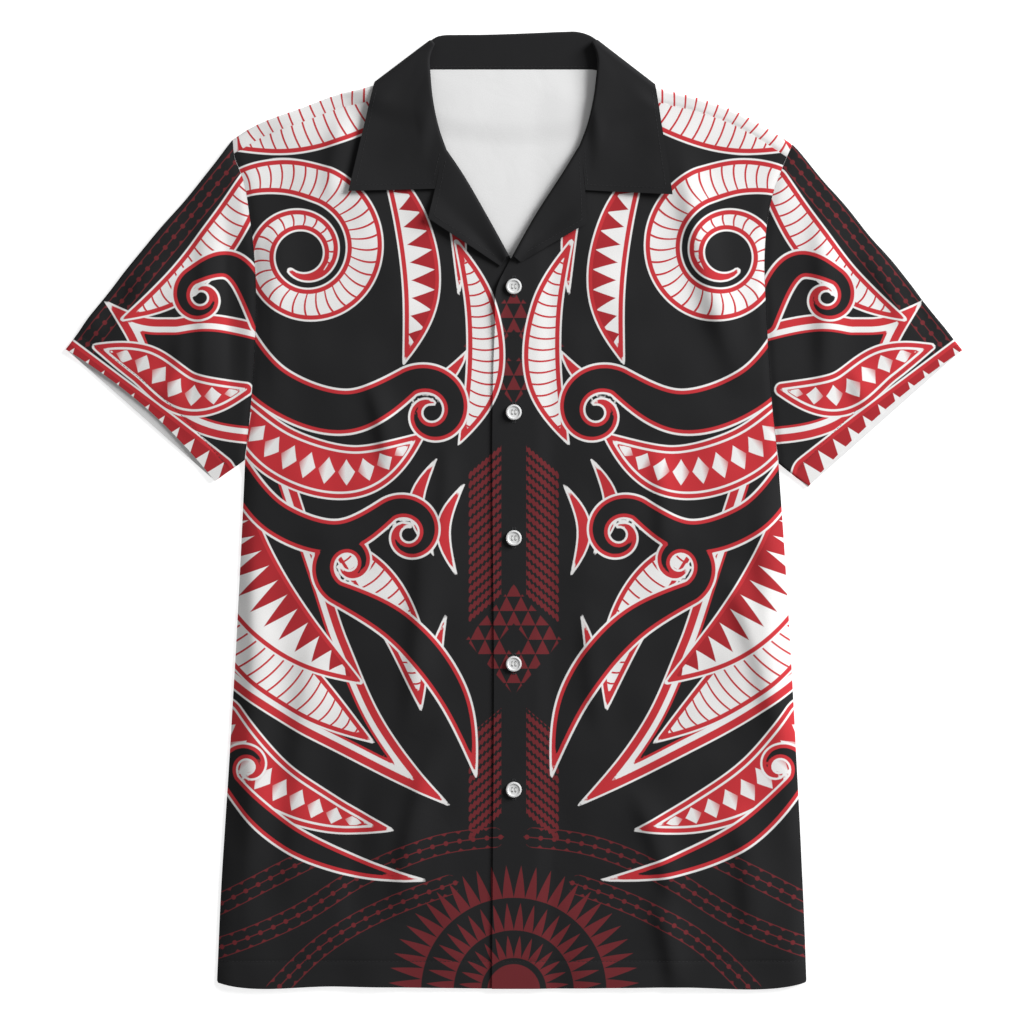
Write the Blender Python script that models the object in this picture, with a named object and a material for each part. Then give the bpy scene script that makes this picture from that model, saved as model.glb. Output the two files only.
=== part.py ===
"""A short-sleeved camp-collar shirt, buttoned up and laid flat on its back.

The shirt lies on z = 0 with its collar towards +Y. The wearer's right side is at -X. Each cut
piece is a mid-surface worked out from the tables below and thickened to a wall of cloth: the
panels from their outlines and a height over the table, the sleeves from flattened rings, and
the collar and lapels from sections across the roll line. Tables are in millimetres.
"""

import math
from collections import namedtuple

import bmesh
import bpy
import numpy as np
from mathutils import Matrix, Vector
from mathutils.geometry import delaunay_2d_cdt

MM = 0.001

# Driving dimensions, in millimetres.
CLOTH = 1.2
HALF = CLOTH / 2
GAP = 0.3
LAYER = CLOTH + GAP
BACK_LEVEL = HALF
TOP_LEVEL = BACK_LEVEL + LAYER
LOFT = 1.0
NECK_LOFT = 1.0
FOLD_INSET = LAYER / 2 + LOFT / 2 + HALF
SHOULDER_SEAM = 11.0
SIDE_ROLL = 13.0
UNDERARM_EASE = 0.5
SEAM_DIP = 0.5
SEAM_DIP_WIDTH = 5.0
LIP = 4.5
LEAF_REST = 0.5
LAPEL_ROLL = 1.9
COLLAR_ROLL = 1.6
COLLAR_TURN = 3.2
NECK_POINT_GAP = 0.9
TURN_SET_BACK = 1.0
TURN_END_ANGLE = math.radians(62.0)
HEM_Y = -382.8
PLACKET_LAP_END = 16.0
PLACKET_RAMP = 16.0
FALL_CENTRE_Y = 313.0
FALL_BELOW_EDGE = 3.0
FALL_RAMP = 20.0
FALL_SIDE_EASE = 12.0
FALL_EASE_FROM = 70.0
FALL_EASE_OVER = 30.0
FALL_CURVE = 2.2
UNDERARM_ROLL_START = 6.0
UNDERARM_ROLL_OVER = 20.0
LAP_END_MARGIN = 2.0
LAP_TOP_Y = 226.0
LAP_TOP_OVER = 20.0
FOLD_FADE = 0.35
LEAF_SETTLE = 0.75
COLLAR_SIDE_Y = 360.0
COLLAR_SIDE_EASE = 0.4
NECK_SEAM_X = (64.0, 48.0, 32.0, 16.0, 0.0)
PLACKET_TOP_Y = 168.0
GORGE_OFFSET = 0.2
BUTTON_RADIUS = 6.35
BUTTON_THICKNESS = 2.6
BUTTON_COUNT = 5
BUTTON_PITCH = 100.4
BUTTON_TOP = (1.0, 178.0)
BUTTON_HOLE = 0.85
BUTTON_HOLE_OFFSET = 1.9
BUTTON_SIDES = 20
# Each point of the turned profile: its share of the radius and of the thickness.
BUTTON_PROFILE = ((0.0, 0.62), (0.62, 0.66), (0.80, 1.0), (0.94, 0.9), (1.0, 0.5), (0.86, 0.0), (0.0, 0.0))

# Mesh fineness.
PANEL_SPACING = 34.0
CROWDED = 7.0
EDGE_CLEAR = 4.0
ARMHOLE_STEPS = 6
SIDE_STEPS = 11
HEM_STEPS = 7
SHOULDER_STEPS = 7
FOLD_STEPS = 4
SLEEVE_STEPS = 6
STAND_STEPS = 2
ROLL_STEPS = 4
LEAF_STEPS = 5
CORNER_STEPS = 8
FRONT_LOWER_STEPS = 5
FRONT_UPPER_STEPS = 3
NECK_BACK_STEPS = 5
LAPEL_STEPS = 7

Place = namedtuple("Place", "x y")
NeckRow = namedtuple("NeckRow", "roll_x roll_y seam_x seam_y")
Ridge = namedtuple("Ridge", "start_x start_y end_x end_y height width")
Side = namedtuple(
    "Side",
    "sign shoulder armhole body sleeve_top cuff_upper cuff_lower cuff_bow"
    " neck collar_corner leaf_point notch gorge fall_corner lapel_roll lapel_tip lapel_foot",
)

WEARER_RIGHT = Side(
    sign=-1,
    shoulder=(
        Place(-223.6, 295.6), Place(-211.6, 303.6), Place(-166.8, 321.6),
        Place(-117.2, 340.4), Place(-82.0, 354.1),
    ),
    armhole=(
        Place(-223.6, 295.6), Place(-222.4, 283.0), Place(-214.8, 262.8), Place(-210.0, 234.8),
        Place(-205.4, 189.2), Place(-206.8, 112.4), Place(-213.6, 39.6),
    ),
    body=(
        Place(-213.6, 39.6), Place(-218.0, -56.4), Place(-225.2, -184.4),
        Place(-233.2, -312.4), Place(-236.0, -376.4),
    ),
    sleeve_top=(Place(-223.6, 295.6), Place(-235.6, 279.6), Place(-296.0, 206.6), Place(-357.2, 128.4)),
    cuff_upper=Place(-357.2, 128.4),
    cuff_lower=Place(-237.6, 22.8),
    cuff_bow=7.3,
    neck=(
        NeckRow(-52.4, 286.8, -56.4, 284.8),
        NeckRow(-58.8, 305.2, -64.6, 303.4),
        NeckRow(-63.2, 326.0, -71.2, 323.6),
        NeckRow(-65.4, 348.0, -77.6, 342.6),
    ),
    collar_corner=Place(-66.0, 374.8),
    leaf_point=Place(-130.8, 254.0),
    notch=Place(-62.0, 255.8),
    gorge=Place(-58.6, 271.0),
    fall_corner=Place(-109.0, 345.6),
    lapel_roll=(Place(-52.4, 286.8), Place(-40.4, 269.2), Place(-21.2, 236.4), Place(-3.2, 203.8)),
    lapel_tip=Place(-67.6, 232.4),
    lapel_foot=Place(-9.6, 194.4),
)
WEARER_LEFT = Side(
    sign=1,
    shoulder=(
        Place(223.6, 291.6), Place(205.2, 303.6), Place(182.8, 316.2), Place(150.0, 328.8),
        Place(117.2, 340.4), Place(83.0, 352.6),
    ),
    armhole=(
        Place(223.6, 291.6), Place(214.4, 270.0), Place(206.8, 247.6), Place(203.4, 228.0),
        Place(201.4, 202.8), Place(202.8, 157.2), Place(206.0, 101.2), Place(212.4, 36.8),
    ),
    body=(
        Place(212.4, 36.8), Place(218.8, -56.4), Place(226.0, -184.4),
        Place(232.4, -312.4), Place(234.8, -376.4),
    ),
    sleeve_top=(Place(223.6, 291.6), Place(234.0, 279.6), Place(294.6, 207.6), Place(359.6, 127.6)),
    cuff_upper=Place(359.6, 127.6),
    cuff_lower=Place(235.9, 18.0),
    cuff_bow=5.3,
    neck=(
        NeckRow(53.2, 290.4, 57.3, 288.5),
        NeckRow(59.4, 306.6, 65.4, 304.8),
        NeckRow(64.2, 326.6, 72.2, 324.2),
        NeckRow(66.8, 346.2, 78.8, 341.4),
    ),
    collar_corner=Place(66.0, 375.6),
    leaf_point=Place(127.6, 251.2),
    notch=Place(58.2, 254.8),
    gorge=Place(56.4, 272.4),
    fall_corner=Place(113.0, 344.0),
    lapel_roll=(Place(53.2, 290.4), Place(41.2, 270.8), Place(18.0, 234.8), Place(0.4, 203.4)),
    lapel_tip=Place(59.4, 228.5),
    lapel_foot=Place(6.4, 197.4),
)
SIDES = (WEARER_RIGHT, WEARER_LEFT)

COLLAR_TOP = (
    Place(-59.0, 378.6), Place(-50.0, 380.0), Place(0.0, 381.6), Place(44.0, 382.2), Place(60.4, 379.2),
)
NECK_SEAM_Y = 351.9
PLACKET_EDGE = (Place(-6.0, 191.6), Place(-12.4, 177.6), Place(-14.0, 146.8), Place(-14.8, -152.4))
PLACKET_HEM_X = -16.4
HEM = (Place(-229.6, -379.6), Place(-141.2, -381.0), Place(-16.4, HEM_Y))
HEM_LEFT = (Place(PLACKET_LAP_END, HEM_Y), Place(130.0, -381.6), Place(228.6, -379.4))

# Soft folds that the front layer keeps: a ridge from start to end, its height and half width.
RIDGES = (
    Ridge(-212.0, -110.0, -220.0, -372.0, 2.4, 15.0),
    Ridge(-146.0, -64.0, -168.0, -330.0, 1.7, 20.0),
    Ridge(-76.0, -66.0, -60.0, -322.0, 1.4, 17.0),
    Ridge(196.0, 34.0, 206.0, -236.0, 1.7, 15.0),
    Ridge(96.0, -120.0, 118.0, -340.0, 1.2, 18.0),
    Ridge(-196.0, 214.0, -118.0, 168.0, 1.0, 15.0),
    Ridge(192.0, 206.0, 124.0, 168.0, 1.1, 15.0),
    Ridge(-228.0, 168.0, -300.0, 92.0, 1.4, 15.0),
    Ridge(226.0, 162.0, 300.0, 90.0, 1.3, 15.0),
)

UP = np.array([0.0, 0.0, 1.0])


def smooth(value):
    """A soft step from 0 to 1."""
    value = np.clip(value, 0.0, 1.0)
    return value * value * (3.0 - 2.0 * value)


def unit(vector):
    """The vector at length 1."""
    vector = np.asarray(vector, float)
    return vector / np.linalg.norm(vector)


def lengths(points):
    """The distance along a line of points at each of them."""
    steps = np.linalg.norm(np.diff(points, axis=0), axis=1)
    return np.concatenate([[0.0], np.cumsum(steps)])


def through(places, per_span=24):
    """A dense smooth curve through the places, with tangents that allow for uneven spacing."""
    knots = np.array(places, float)
    if len(knots) == 2:
        return knots
    span = np.linalg.norm(np.diff(knots, axis=0), axis=1)[:, None]
    slope = np.diff(knots, axis=0) / span
    inner = (slope[:-1] * span[1:] + slope[1:] * span[:-1]) / (span[:-1] + span[1:])
    first = 1.5 * slope[:1] - 0.5 * inner[:1]
    last = 1.5 * slope[-1:] - 0.5 * inner[-1:]
    tangent = np.concatenate([first, inner, last])
    t = np.linspace(0.0, 1.0, per_span, endpoint=False)[:, None]
    curve = [
        (2 * t**3 - 3 * t**2 + 1) * knots[i]
        + (t**3 - 2 * t**2 + t) * span[i] * tangent[i]
        + (3 * t**2 - 2 * t**3) * knots[i + 1]
        + (t**3 - t**2) * span[i] * tangent[i + 1]
        for i in range(len(span))
    ]
    return np.concatenate(curve + [knots[-1:]])


def at_lengths(curve, where):
    """Points at the given distances along a dense curve."""
    along = lengths(curve)
    return np.stack([np.interp(where, along, curve[:, k]) for k in range(curve.shape[1])], axis=1)


def spaced(curve, steps):
    """Evenly spaced points along a dense curve."""
    return at_lengths(curve, np.linspace(0.0, lengths(curve)[-1], steps + 1))


def normals(points, side):
    """Unit normals of a line in plan, turned to the given side: 1 is left of its direction."""
    tangent = np.gradient(points, axis=0)
    tangent /= np.linalg.norm(tangent, axis=1)[:, None]
    return side * np.stack([-tangent[:, 1], tangent[:, 0]], axis=1)


def coons(start, end, first, last):
    """A patch between four lines: start and end run across it, first and last along it."""
    u = np.linspace(0.0, 1.0, len(first))[:, None, None]
    v = (lengths(start) / lengths(start)[-1])[None, :, None]
    ruled = (1 - u) * start[None] + u * end[None] + (1 - v) * first[:, None] + v * last[:, None]
    corners = (1 - u) * ((1 - v) * start[0] + v * start[-1]) + u * ((1 - v) * end[0] + v * end[-1])
    return ruled - corners


def line_distance(x, y, start, end):
    """How far each point is from a straight stretch."""
    start, end = np.array(start), np.array(end)
    along = end - start
    t = np.clip(((x - start[0]) * along[0] + (y - start[1]) * along[1]) / (along @ along), 0.0, 1.0)
    return np.hypot(x - start[0] - t * along[0], y - start[1] - t * along[1])


def curve_distance(x, y, curve):
    """How far each point is from a line of straight stretches."""
    found = [line_distance(x, y, a, b) for a, b in zip(curve[:-1], curve[1:])]
    return np.min(found, axis=0)


def fall_edge_y(x):
    """The lower edge of the collar's fall, which lies under the back panel."""
    x = np.asarray(x, float)
    corner_x = np.where(x < 0, WEARER_RIGHT.fall_corner.x, WEARER_LEFT.fall_corner.x)
    corner_y = np.where(x < 0, WEARER_RIGHT.fall_corner.y, WEARER_LEFT.fall_corner.y)
    return FALL_CENTRE_Y + (corner_y - FALL_CENTRE_Y) * np.abs(x / corner_x) ** FALL_CURVE


def over_fall(x, y):
    """1 where the collar's fall lies below the shirt, and 0 away from it."""
    x = x - np.sign(x) * FALL_SIDE_EASE * smooth((np.abs(x) - FALL_EASE_FROM) / FALL_EASE_OVER)
    below = fall_edge_y(x) - y - FALL_BELOW_EDGE
    return 1.0 - smooth(below / FALL_RAMP)


def back_level(x, y):
    """Height of the middle of the back panel's wall."""
    return BACK_LEVEL + LAYER * over_fall(x, y)


ARMHOLES = tuple(through(side.armhole) for side in SIDES)


def ridges(x, y):
    """Height that the soft folds add, fading out towards their ends."""
    total = np.zeros(np.shape(x))
    for ridge in RIDGES:
        start = np.array([ridge.start_x, ridge.start_y])
        along = np.array([ridge.end_x, ridge.end_y]) - start
        length = np.hypot(*along)
        along /= length
        t = ((x - start[0]) * along[0] + (y - start[1]) * along[1]) / length
        off = (y - start[1]) * along[0] - (x - start[0]) * along[1]
        fade = smooth(t / FOLD_FADE) * smooth((1.0 - t) / FOLD_FADE)
        total += ridge.height * fade * np.exp(-((off / ridge.width) ** 2) * 1.6)
    return total


def top_level(x, y):
    """Height of the middle of the top layer: fronts, sleeve fronts and the shoulder strips."""
    x, y = np.asarray(x, float), np.asarray(y, float)
    level = TOP_LEVEL + LOFT + ridges(x, y) + (LAYER + NECK_LOFT) * over_fall(x, y)
    seam = np.minimum(curve_distance(x, y, ARMHOLES[0][::6]), curve_distance(x, y, ARMHOLES[1][::6]))
    return level - SEAM_DIP * np.exp(-((seam / SEAM_DIP_WIDTH) ** 2))


def side_x(side, y):
    """Where the side seam is at a height along the body."""
    curve = through(side.body)
    return np.interp(-np.asarray(y, float), -curve[:, 1], curve[:, 0])


def front_level(side):
    """The height of a front: the top layer, rolled down at the side seam and lapped at the placket."""

    def level(x, y):
        """The middle of the front's wall at each place."""
        x, y = np.asarray(x, float), np.asarray(y, float)
        inside = np.abs(side_x(side, y)) - np.abs(x)
        below_arm = smooth((side.body[0].y + UNDERARM_ROLL_START - y) / UNDERARM_ROLL_OVER)
        rolled = 1.0 - below_arm * (1.0 - smooth(inside / SIDE_ROLL))
        height = TOP_LEVEL + (top_level(x, y) - TOP_LEVEL) * rolled
        if side.sign > 0:
            lap = smooth((PLACKET_LAP_END + LAP_END_MARGIN + PLACKET_RAMP - x) / PLACKET_RAMP)
            height = height + LAYER * lap * smooth((LAP_TOP_Y - y) / LAP_TOP_OVER)
        return height

    return level


FRONT_LEVELS = tuple(front_level(side) for side in SIDES)


def armhole_samples(side):
    """Distances along an armhole, from the shoulder fold, where its pieces share their points."""
    total = lengths(ARMHOLES[SIDES.index(side)])[-1]
    even = np.linspace(SHOULDER_SEAM, total - FOLD_INSET, ARMHOLE_STEPS + 1)
    return np.concatenate([[FOLD_INSET], even, [total]])


def armhole_line(side, outward):
    """The armhole's shared points, moved half a gap to the sleeve's side or the body's."""
    curve = ARMHOLES[SIDES.index(side)]
    points = at_lengths(curve, armhole_samples(side))
    away = normals(points, side.sign)
    return points + away * outward * GAP / 2


def new_material(name, colour, roughness):
    """A plain material of one colour."""
    material = bpy.data.materials.new(name)
    material.use_nodes = True
    shader = material.node_tree.nodes["Principled BSDF"]
    shader.inputs["Base Color"].default_value = (*colour, 1.0)
    shader.inputs["Roughness"].default_value = roughness
    shader.inputs["Metallic"].default_value = 0.0
    return material


def new_object(name, points, faces, material):
    """An object of smooth faces from points in millimetres, with points that meet made one."""
    mesh = bpy.data.meshes.new(name)
    mesh.from_pydata([Vector(point) * MM for point in points], [], faces)
    work = bmesh.new()
    work.from_mesh(mesh)
    bmesh.ops.remove_doubles(work, verts=work.verts, dist=0.00002)
    bmesh.ops.recalc_face_normals(work, faces=work.faces)
    work.to_mesh(mesh)
    work.free()
    mesh.materials.append(material)
    mesh.shade_smooth()
    thing = bpy.data.objects.new(name, mesh)
    bpy.context.scene.collection.objects.link(thing)
    return thing


def cloth(name, points, faces, material):
    """A mid-surface thickened into a wall of cloth."""
    thing = new_object(name, points, faces, material)
    wall = thing.modifiers.new("wall", "SOLIDIFY")
    wall.thickness = CLOTH * MM
    wall.offset = 0.0
    wall.use_even_offset = False
    wall.use_quality_normals = True
    thing.data.set_sharp_from_angle(angle=math.radians(50))
    return thing


def grid_faces(rows, columns, first=0, closed=False):
    """Quads between rows of points; closed joins each row's last point to its first."""
    faces = []
    for row in range(rows - 1):
        for column in range(columns if closed else columns - 1):
            a = first + row * columns + column
            b = first + row * columns + (column + 1) % columns
            faces.append((a, b, b + columns, a + columns))
    return faces


def inside_outline(points, outline):
    """Which points lie inside a closed outline."""
    x, y = points[:, 0], points[:, 1]
    inside = np.zeros(len(points), bool)
    for a, b in zip(outline, np.roll(outline, -1, axis=0)):
        crosses = (a[1] > y) != (b[1] > y)
        if crosses.any():
            at = a[0] + (y - a[1]) * (b[0] - a[0]) / (b[1] - a[1] + 1e-12)
            inside ^= crosses & (x < at)
    return inside


def ridge_points():
    """Points along each soft fold's crest and feet, so that the panels' faces follow it."""
    found = []
    for ridge in RIDGES:
        start = np.array([ridge.start_x, ridge.start_y])
        end = np.array([ridge.end_x, ridge.end_y])
        across = unit([start[1] - end[1], end[0] - start[0]])
        steps = max(3, round(float(np.hypot(*(end - start))) / PANEL_SPACING))
        for t in np.linspace(0.12, 0.88, steps):
            crest = start + t * (end - start)
            found += [crest, crest + across * ridge.width, crest - across * ridge.width]
    return np.array(found)


def fill_outline(outline, extra):
    """Triangles over a closed outline, with even rows of points and some of its own inside."""
    low, high = outline.min(axis=0), outline.max(axis=0)
    rows = []
    for row, y in enumerate(np.arange(low[1], high[1], PANEL_SPACING * 0.87)):
        shift = PANEL_SPACING / 2 * (row % 2)
        rows += [(x, y) for x in np.arange(low[0] + shift, high[0], PANEL_SPACING)]
    even = np.array(rows)
    closed = np.concatenate([outline, outline[:1]])
    extra = extra[inside_outline(extra, outline)]
    extra = extra[curve_distance(extra[:, 0], extra[:, 1], closed) > EDGE_CLEAR]
    even = even[inside_outline(even, outline)]
    even = even[curve_distance(even[:, 0], even[:, 1], closed) > PANEL_SPACING * 0.45]
    apart = [np.min(np.hypot(*(extra - p).T), initial=1e9) > PANEL_SPACING * 0.5 for p in even]
    points = np.concatenate([outline, extra, even[apart]])
    count = len(outline)
    edges = [(i, (i + 1) % count) for i in range(count)]
    flat = [Vector((float(x), float(y))) for x, y in points]
    corners, _, faces, *_ = delaunay_2d_cdt(flat, edges, [], 1, 1e-5)
    return np.array([tuple(corner) for corner in corners]), [tuple(face) for face in faces]


def raised(plan, level):
    """Points in plan, each at its height."""
    plan = np.asarray(plan, float)
    return np.concatenate([plan, level(plan[..., 0], plan[..., 1])[..., None]], axis=-1)


def shoulder_folds(side):
    """The shoulder as rows of points: the foot of the fold, its arc, and the strip in front."""
    line = spaced(through(side.shoulder), SHOULDER_STEPS)
    away = normals(line, -side.sign)
    arm = armhole_line(side, -1)
    line[0] = arm[0] + unit(arm[0] - arm[1]) * FOLD_INSET
    away[0] = unit(arm[0] - arm[1])
    seam_inset = SHOULDER_SEAM - GAP / 2
    low = back_level(line[:, 0], line[:, 1])
    high = top_level(*(line - 3.0 * away).T)
    foot = line - away * ((high - low) / 2 + HALF)[:, None]
    foot[0] = arm[0]
    low = back_level(foot[:, 0], foot[:, 1])
    radius = (high - low) / 2
    rows = []
    for angle in np.linspace(-math.pi / 2, math.pi / 2, FOLD_STEPS + 1):
        out = foot + away * (radius * math.cos(angle))[:, None]
        height = (low + high) / 2 + radius * math.sin(angle)
        rows.append(np.concatenate([out, height[:, None]], axis=1))
    seam = line - away * seam_inset
    seam[0] = arm[1] + unit(arm[0] - arm[1]) * GAP / 2
    seam[-1] = (side.neck[-1].seam_x + side.sign * GAP, side.neck[-1].seam_y + GAP / 2)
    rows.append(raised(seam, top_level))
    return rows


def neck_seam(side, gap):
    """The back neckline in plan from the shoulder fold to the middle, set off by a gap."""
    start = fold_axis(side)
    line = [(side.sign * x, NECK_SEAM_Y - gap) for x in NECK_SEAM_X]
    return np.array([start] + line)


def fold_axis(side):
    """The axis of the shoulder fold at its neck end, in plan."""
    return shoulder_folds(side)[0][-1, :2]


def make_back(material):
    """The back panel: flat, raised where the fall lies under it, and folded over at the shoulders."""
    right, left = (shoulder_folds(side) for side in SIDES)
    half = []
    for side in SIDES:
        arm = armhole_line(side, -1)
        body = spaced(through(side.body), SIDE_STEPS)
        half.append(np.concatenate([arm[1:], body[1:]]))
    hem = np.concatenate([spaced(through(HEM), HEM_STEPS), spaced(through(HEM_LEFT), HEM_STEPS)])
    neck_right = neck_seam(WEARER_RIGHT, GAP)[1:]
    neck_left = neck_seam(WEARER_LEFT, GAP)[1:-1][::-1]
    outline = np.concatenate([
        half[0], hem, half[1][::-1],
        left[0][:, :2], neck_left, neck_right[::-1], right[0][::-1, :2],
    ])
    plan, faces = fill_outline(outline, thinned(fall_rows(np.linspace(-125.0, 125.0, 11))))
    points = raised(plan, back_level)
    for rows in (right, left):
        faces += grid_faces(len(rows), len(rows[0]), first=len(points))
        points = np.concatenate([points] + rows)
    return cloth("back", points, faces, material)


def collar_rows(side):
    """The neck's rows as dense curves: the roll line and the seam, from the gorge upwards."""
    roll = [(row.roll_x, row.roll_y) for row in side.neck]
    seam = [(row.seam_x, row.seam_y) for row in side.neck]
    return np.array(roll), np.array(seam)


def front_seam(side):
    """The inner edge of a front along collar and lapel, from the shoulder seam to the V's foot."""
    _, neck = collar_rows(side)
    neck = at_lengths(through(neck), lengths(through(neck))[-1] * np.linspace(1.0, 0.0, 6))
    roll = spaced(through(side.lapel_roll), LAPEL_STEPS)
    away = normals(roll, side.sign)
    lapel = roll + away * LIP
    line = np.concatenate([neck, lapel[1:]])
    line = line + normals(line, side.sign) * GAP
    past = unit(roll[-1] - roll[-2]) * GAP
    return np.concatenate([line[:-1], [line[-1] + past, roll[-1] + past]])


def make_front(side, material):
    """One front: from the shoulder seam to the hem, and from the armhole to past the middle."""
    index = SIDES.index(side)
    rows = shoulder_folds(side)
    seam = rows[-1][:, :2]
    away = normals(spaced(through(side.shoulder), SHOULDER_STEPS), -side.sign)
    shoulder = seam - away * GAP
    arm = armhole_line(side, -1)
    shoulder[0] = arm[1] + unit(arm[2] - arm[1]) * GAP / 2
    inner = front_seam(side)
    shoulder[-1] = inner[0] + unit(inner[1] - inner[0]) * GAP / 2
    body = spaced(through(side.body), SIDE_STEPS)
    if side.sign < 0:
        edge = np.array([(PLACKET_LAP_END, y) for y in np.linspace(PLACKET_TOP_Y, HEM_Y, 17)])
        hem = spaced(through(HEM), HEM_STEPS)[::-1]
    else:
        folded = through(PLACKET_EDGE + (Place(PLACKET_HEM_X, HEM_Y),))
        edge = spaced(folded, 19)
        hem = np.concatenate([[(-4.0, HEM_Y)], spaced(through(HEM_LEFT), HEM_STEPS)])
    outline = np.concatenate([shoulder[:-1], inner, edge, hem, body[:0:-1], arm[2:][::-1]])
    rows = [
        inset_rows(body[:-1], -side.sign, (0.45 * SIDE_ROLL, 1.15 * SIDE_ROLL)),
        inset_rows(arm[2:-1], -side.sign, (2.0 * SEAM_DIP_WIDTH,)),
    ]
    if side.sign > 0:
        ramp_start = PLACKET_LAP_END + LAP_END_MARGIN
        ramp = (ramp_start, ramp_start + PLACKET_RAMP)
        heights = np.concatenate([[193.0, 174.0, 155.0], edge[2:-1, 1]])
        rows.append(np.array([(x, y) for x in ramp for y in heights]))
    rows += [fall_rows(side.sign * np.linspace(72.0, 120.0, 5)), ridge_points()]
    plan, faces = fill_outline(outline, thinned(np.concatenate(rows)))
    points = raised(plan, FRONT_LEVELS[index])
    return cloth("front_left" if side.sign > 0 else "front_right", points, faces, material)


def fall_rows(x):
    """Rows of points along the top, middle and foot of the ramp over the edge of the collar's fall."""
    drops = FALL_BELOW_EDGE + FALL_RAMP * np.array([0.0, 0.5, 1.0])
    return np.array([(a, fall_edge_y(a) - drop) for drop in drops for a in x])


def inset_rows(line, side, offsets):
    """Rows of points that follow an edge, moved in by each offset, so that faces run along it."""
    away = normals(line, side)
    return np.concatenate([line + away * offset for offset in offsets])


def thinned(points):
    """The points, less any that crowd an earlier one."""
    kept = []
    for point in points:
        if all(np.hypot(*(point - other)) > CROWDED for other in kept):
            kept.append(point)
    return np.array(kept)


def make_sleeve(side, material):
    """A flattened tube from the armhole to the cuff: front layer, top fold, back layer, seam."""
    arm = armhole_line(side, 1)
    arm[-2] += (arm[-2] - armhole_line(side, -1)[-2]) * (UNDERARM_EASE / GAP)
    arm = arm[:-1][::-1]
    upper, lower = np.array(side.cuff_upper), np.array(side.cuff_lower)
    chord = unit(upper - lower)
    share = lengths(arm) / lengths(arm)[-1]
    span = np.hypot(*(upper - lower)) - 2 * FOLD_INSET
    cuff = lower + chord * (FOLD_INSET + share * span)[:, None]
    inward = side.sign * np.array([chord[1], -chord[0]])
    if inward @ (cuff[0] - arm[0]) > 0:
        inward = -inward
    bowed = cuff + inward * (side.cuff_bow * np.sin(math.pi * share) ** 0.9)[:, None]
    top = spaced(through(side.sleeve_top), SLEEVE_STEPS)
    top = top + normals(top, -side.sign) * FOLD_INSET
    top[0], top[-1] = arm[-1], cuff[-1]
    under = straight(arm[0], cuff[0], SLEEVE_STEPS)
    front = coons(arm, bowed, under, top)
    back = coons(arm, cuff, under, top)
    rings = []
    for step in range(SLEEVE_STEPS + 1):
        f, b = front[step], back[step]
        high = top_level(f[:, 0], f[:, 1])
        low = np.full(len(b), BACK_LEVEL)
        ring = [np.concatenate([f, high[:, None]], axis=1)]
        ring.append(fold_arc(f[-1], b[-1], high[-1], low[-1], unit(f[-1] - f[-2])))
        ring.append(np.concatenate([b, low[:, None]], axis=1)[::-1])
        ring.append(fold_arc(b[0], f[0], low[0], high[0], unit(f[0] - f[1])))
        rings.append(np.concatenate(ring))
    points = np.concatenate(rings)
    faces = grid_faces(len(rings), len(rings[0]), closed=True)
    return cloth("sleeve_left" if side.sign > 0 else "sleeve_right", points, faces, material)


def fold_arc(start, end, start_z, end_z, out):
    """The points between two layers, round a fold that bulges outwards."""
    found = []
    radius = abs(start_z - end_z) / 2
    for step in range(1, FOLD_STEPS):
        t = step / FOLD_STEPS
        plan = start + (end - start) * t + out * radius * math.sin(math.pi * t)
        height = (start_z + end_z) / 2 + (start_z - end_z) / 2 * math.cos(math.pi * t)
        found.append((plan[0], plan[1], height))
    return np.array(found)


def roll_arc(centre, radius, out, over):
    """Points from the layer below a roll, round its front, to the layer over it."""
    angles = np.linspace(-math.pi / 2, math.pi / 2, ROLL_STEPS + 1)
    return [centre + radius * (out * math.cos(a) + over * math.sin(a)) for a in angles]


def leaf_height(plan, start, base):
    """Heights over a leaf: high at the roll, then at rest on what lies below."""
    share = np.linspace(0.0, 1.0, len(plan))
    rest = base(plan[:, 0], plan[:, 1]) + LAYER + LEAF_REST
    return rest + np.maximum(start - rest, 0.0) * (1.0 - smooth(share / LEAF_SETTLE))


def section(seam, centre, radius, out, over, leaf):
    """One section of a turned band: seam, stand, roll and leaf."""
    arc = roll_arc(centre, radius, out, over)
    stand = [seam + (arc[0] - seam) * t for t in np.linspace(0.0, 1.0, STAND_STEPS, endpoint=False)]
    return np.array(stand + arc + list(leaf[1:]))


def turn_frame(side):
    """The collar's turn at the shoulder: along it and out of it in plan, its axis, and the way it ends."""
    along = unit(np.array(side.collar_corner) - np.array(side.fall_corner))
    out = -side.sign * np.array([-along[1], along[0]])
    reach = COLLAR_TURN + COLLAR_ROLL + HALF
    axis = np.array(side.collar_corner) - out * reach - along * TURN_SET_BACK
    facing = np.array([-side.sign * math.cos(TURN_END_ANGLE), math.sin(TURN_END_ANGLE)])
    return along, out, axis, facing


def leaf_edge(side, start):
    """The collar's front edge in plan: from the roll down the gorge to the notch, and on to the point."""
    edge = spaced(through([tuple(start), side.gorge, side.notch]), 2)
    edge = np.concatenate([edge, [side.leaf_point]])
    line = at_lengths(edge, lengths(edge)[-1] * np.linspace(0.0, 1.0, LEAF_STEPS + 1))
    line[2] = side.notch
    return line


def straight(start, end, steps):
    """Evenly spaced points on a straight line."""
    start, end = np.asarray(start, float), np.asarray(end, float)
    return start + np.linspace(0.0, 1.0, steps + 1)[:, None] * (end - start)


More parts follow.
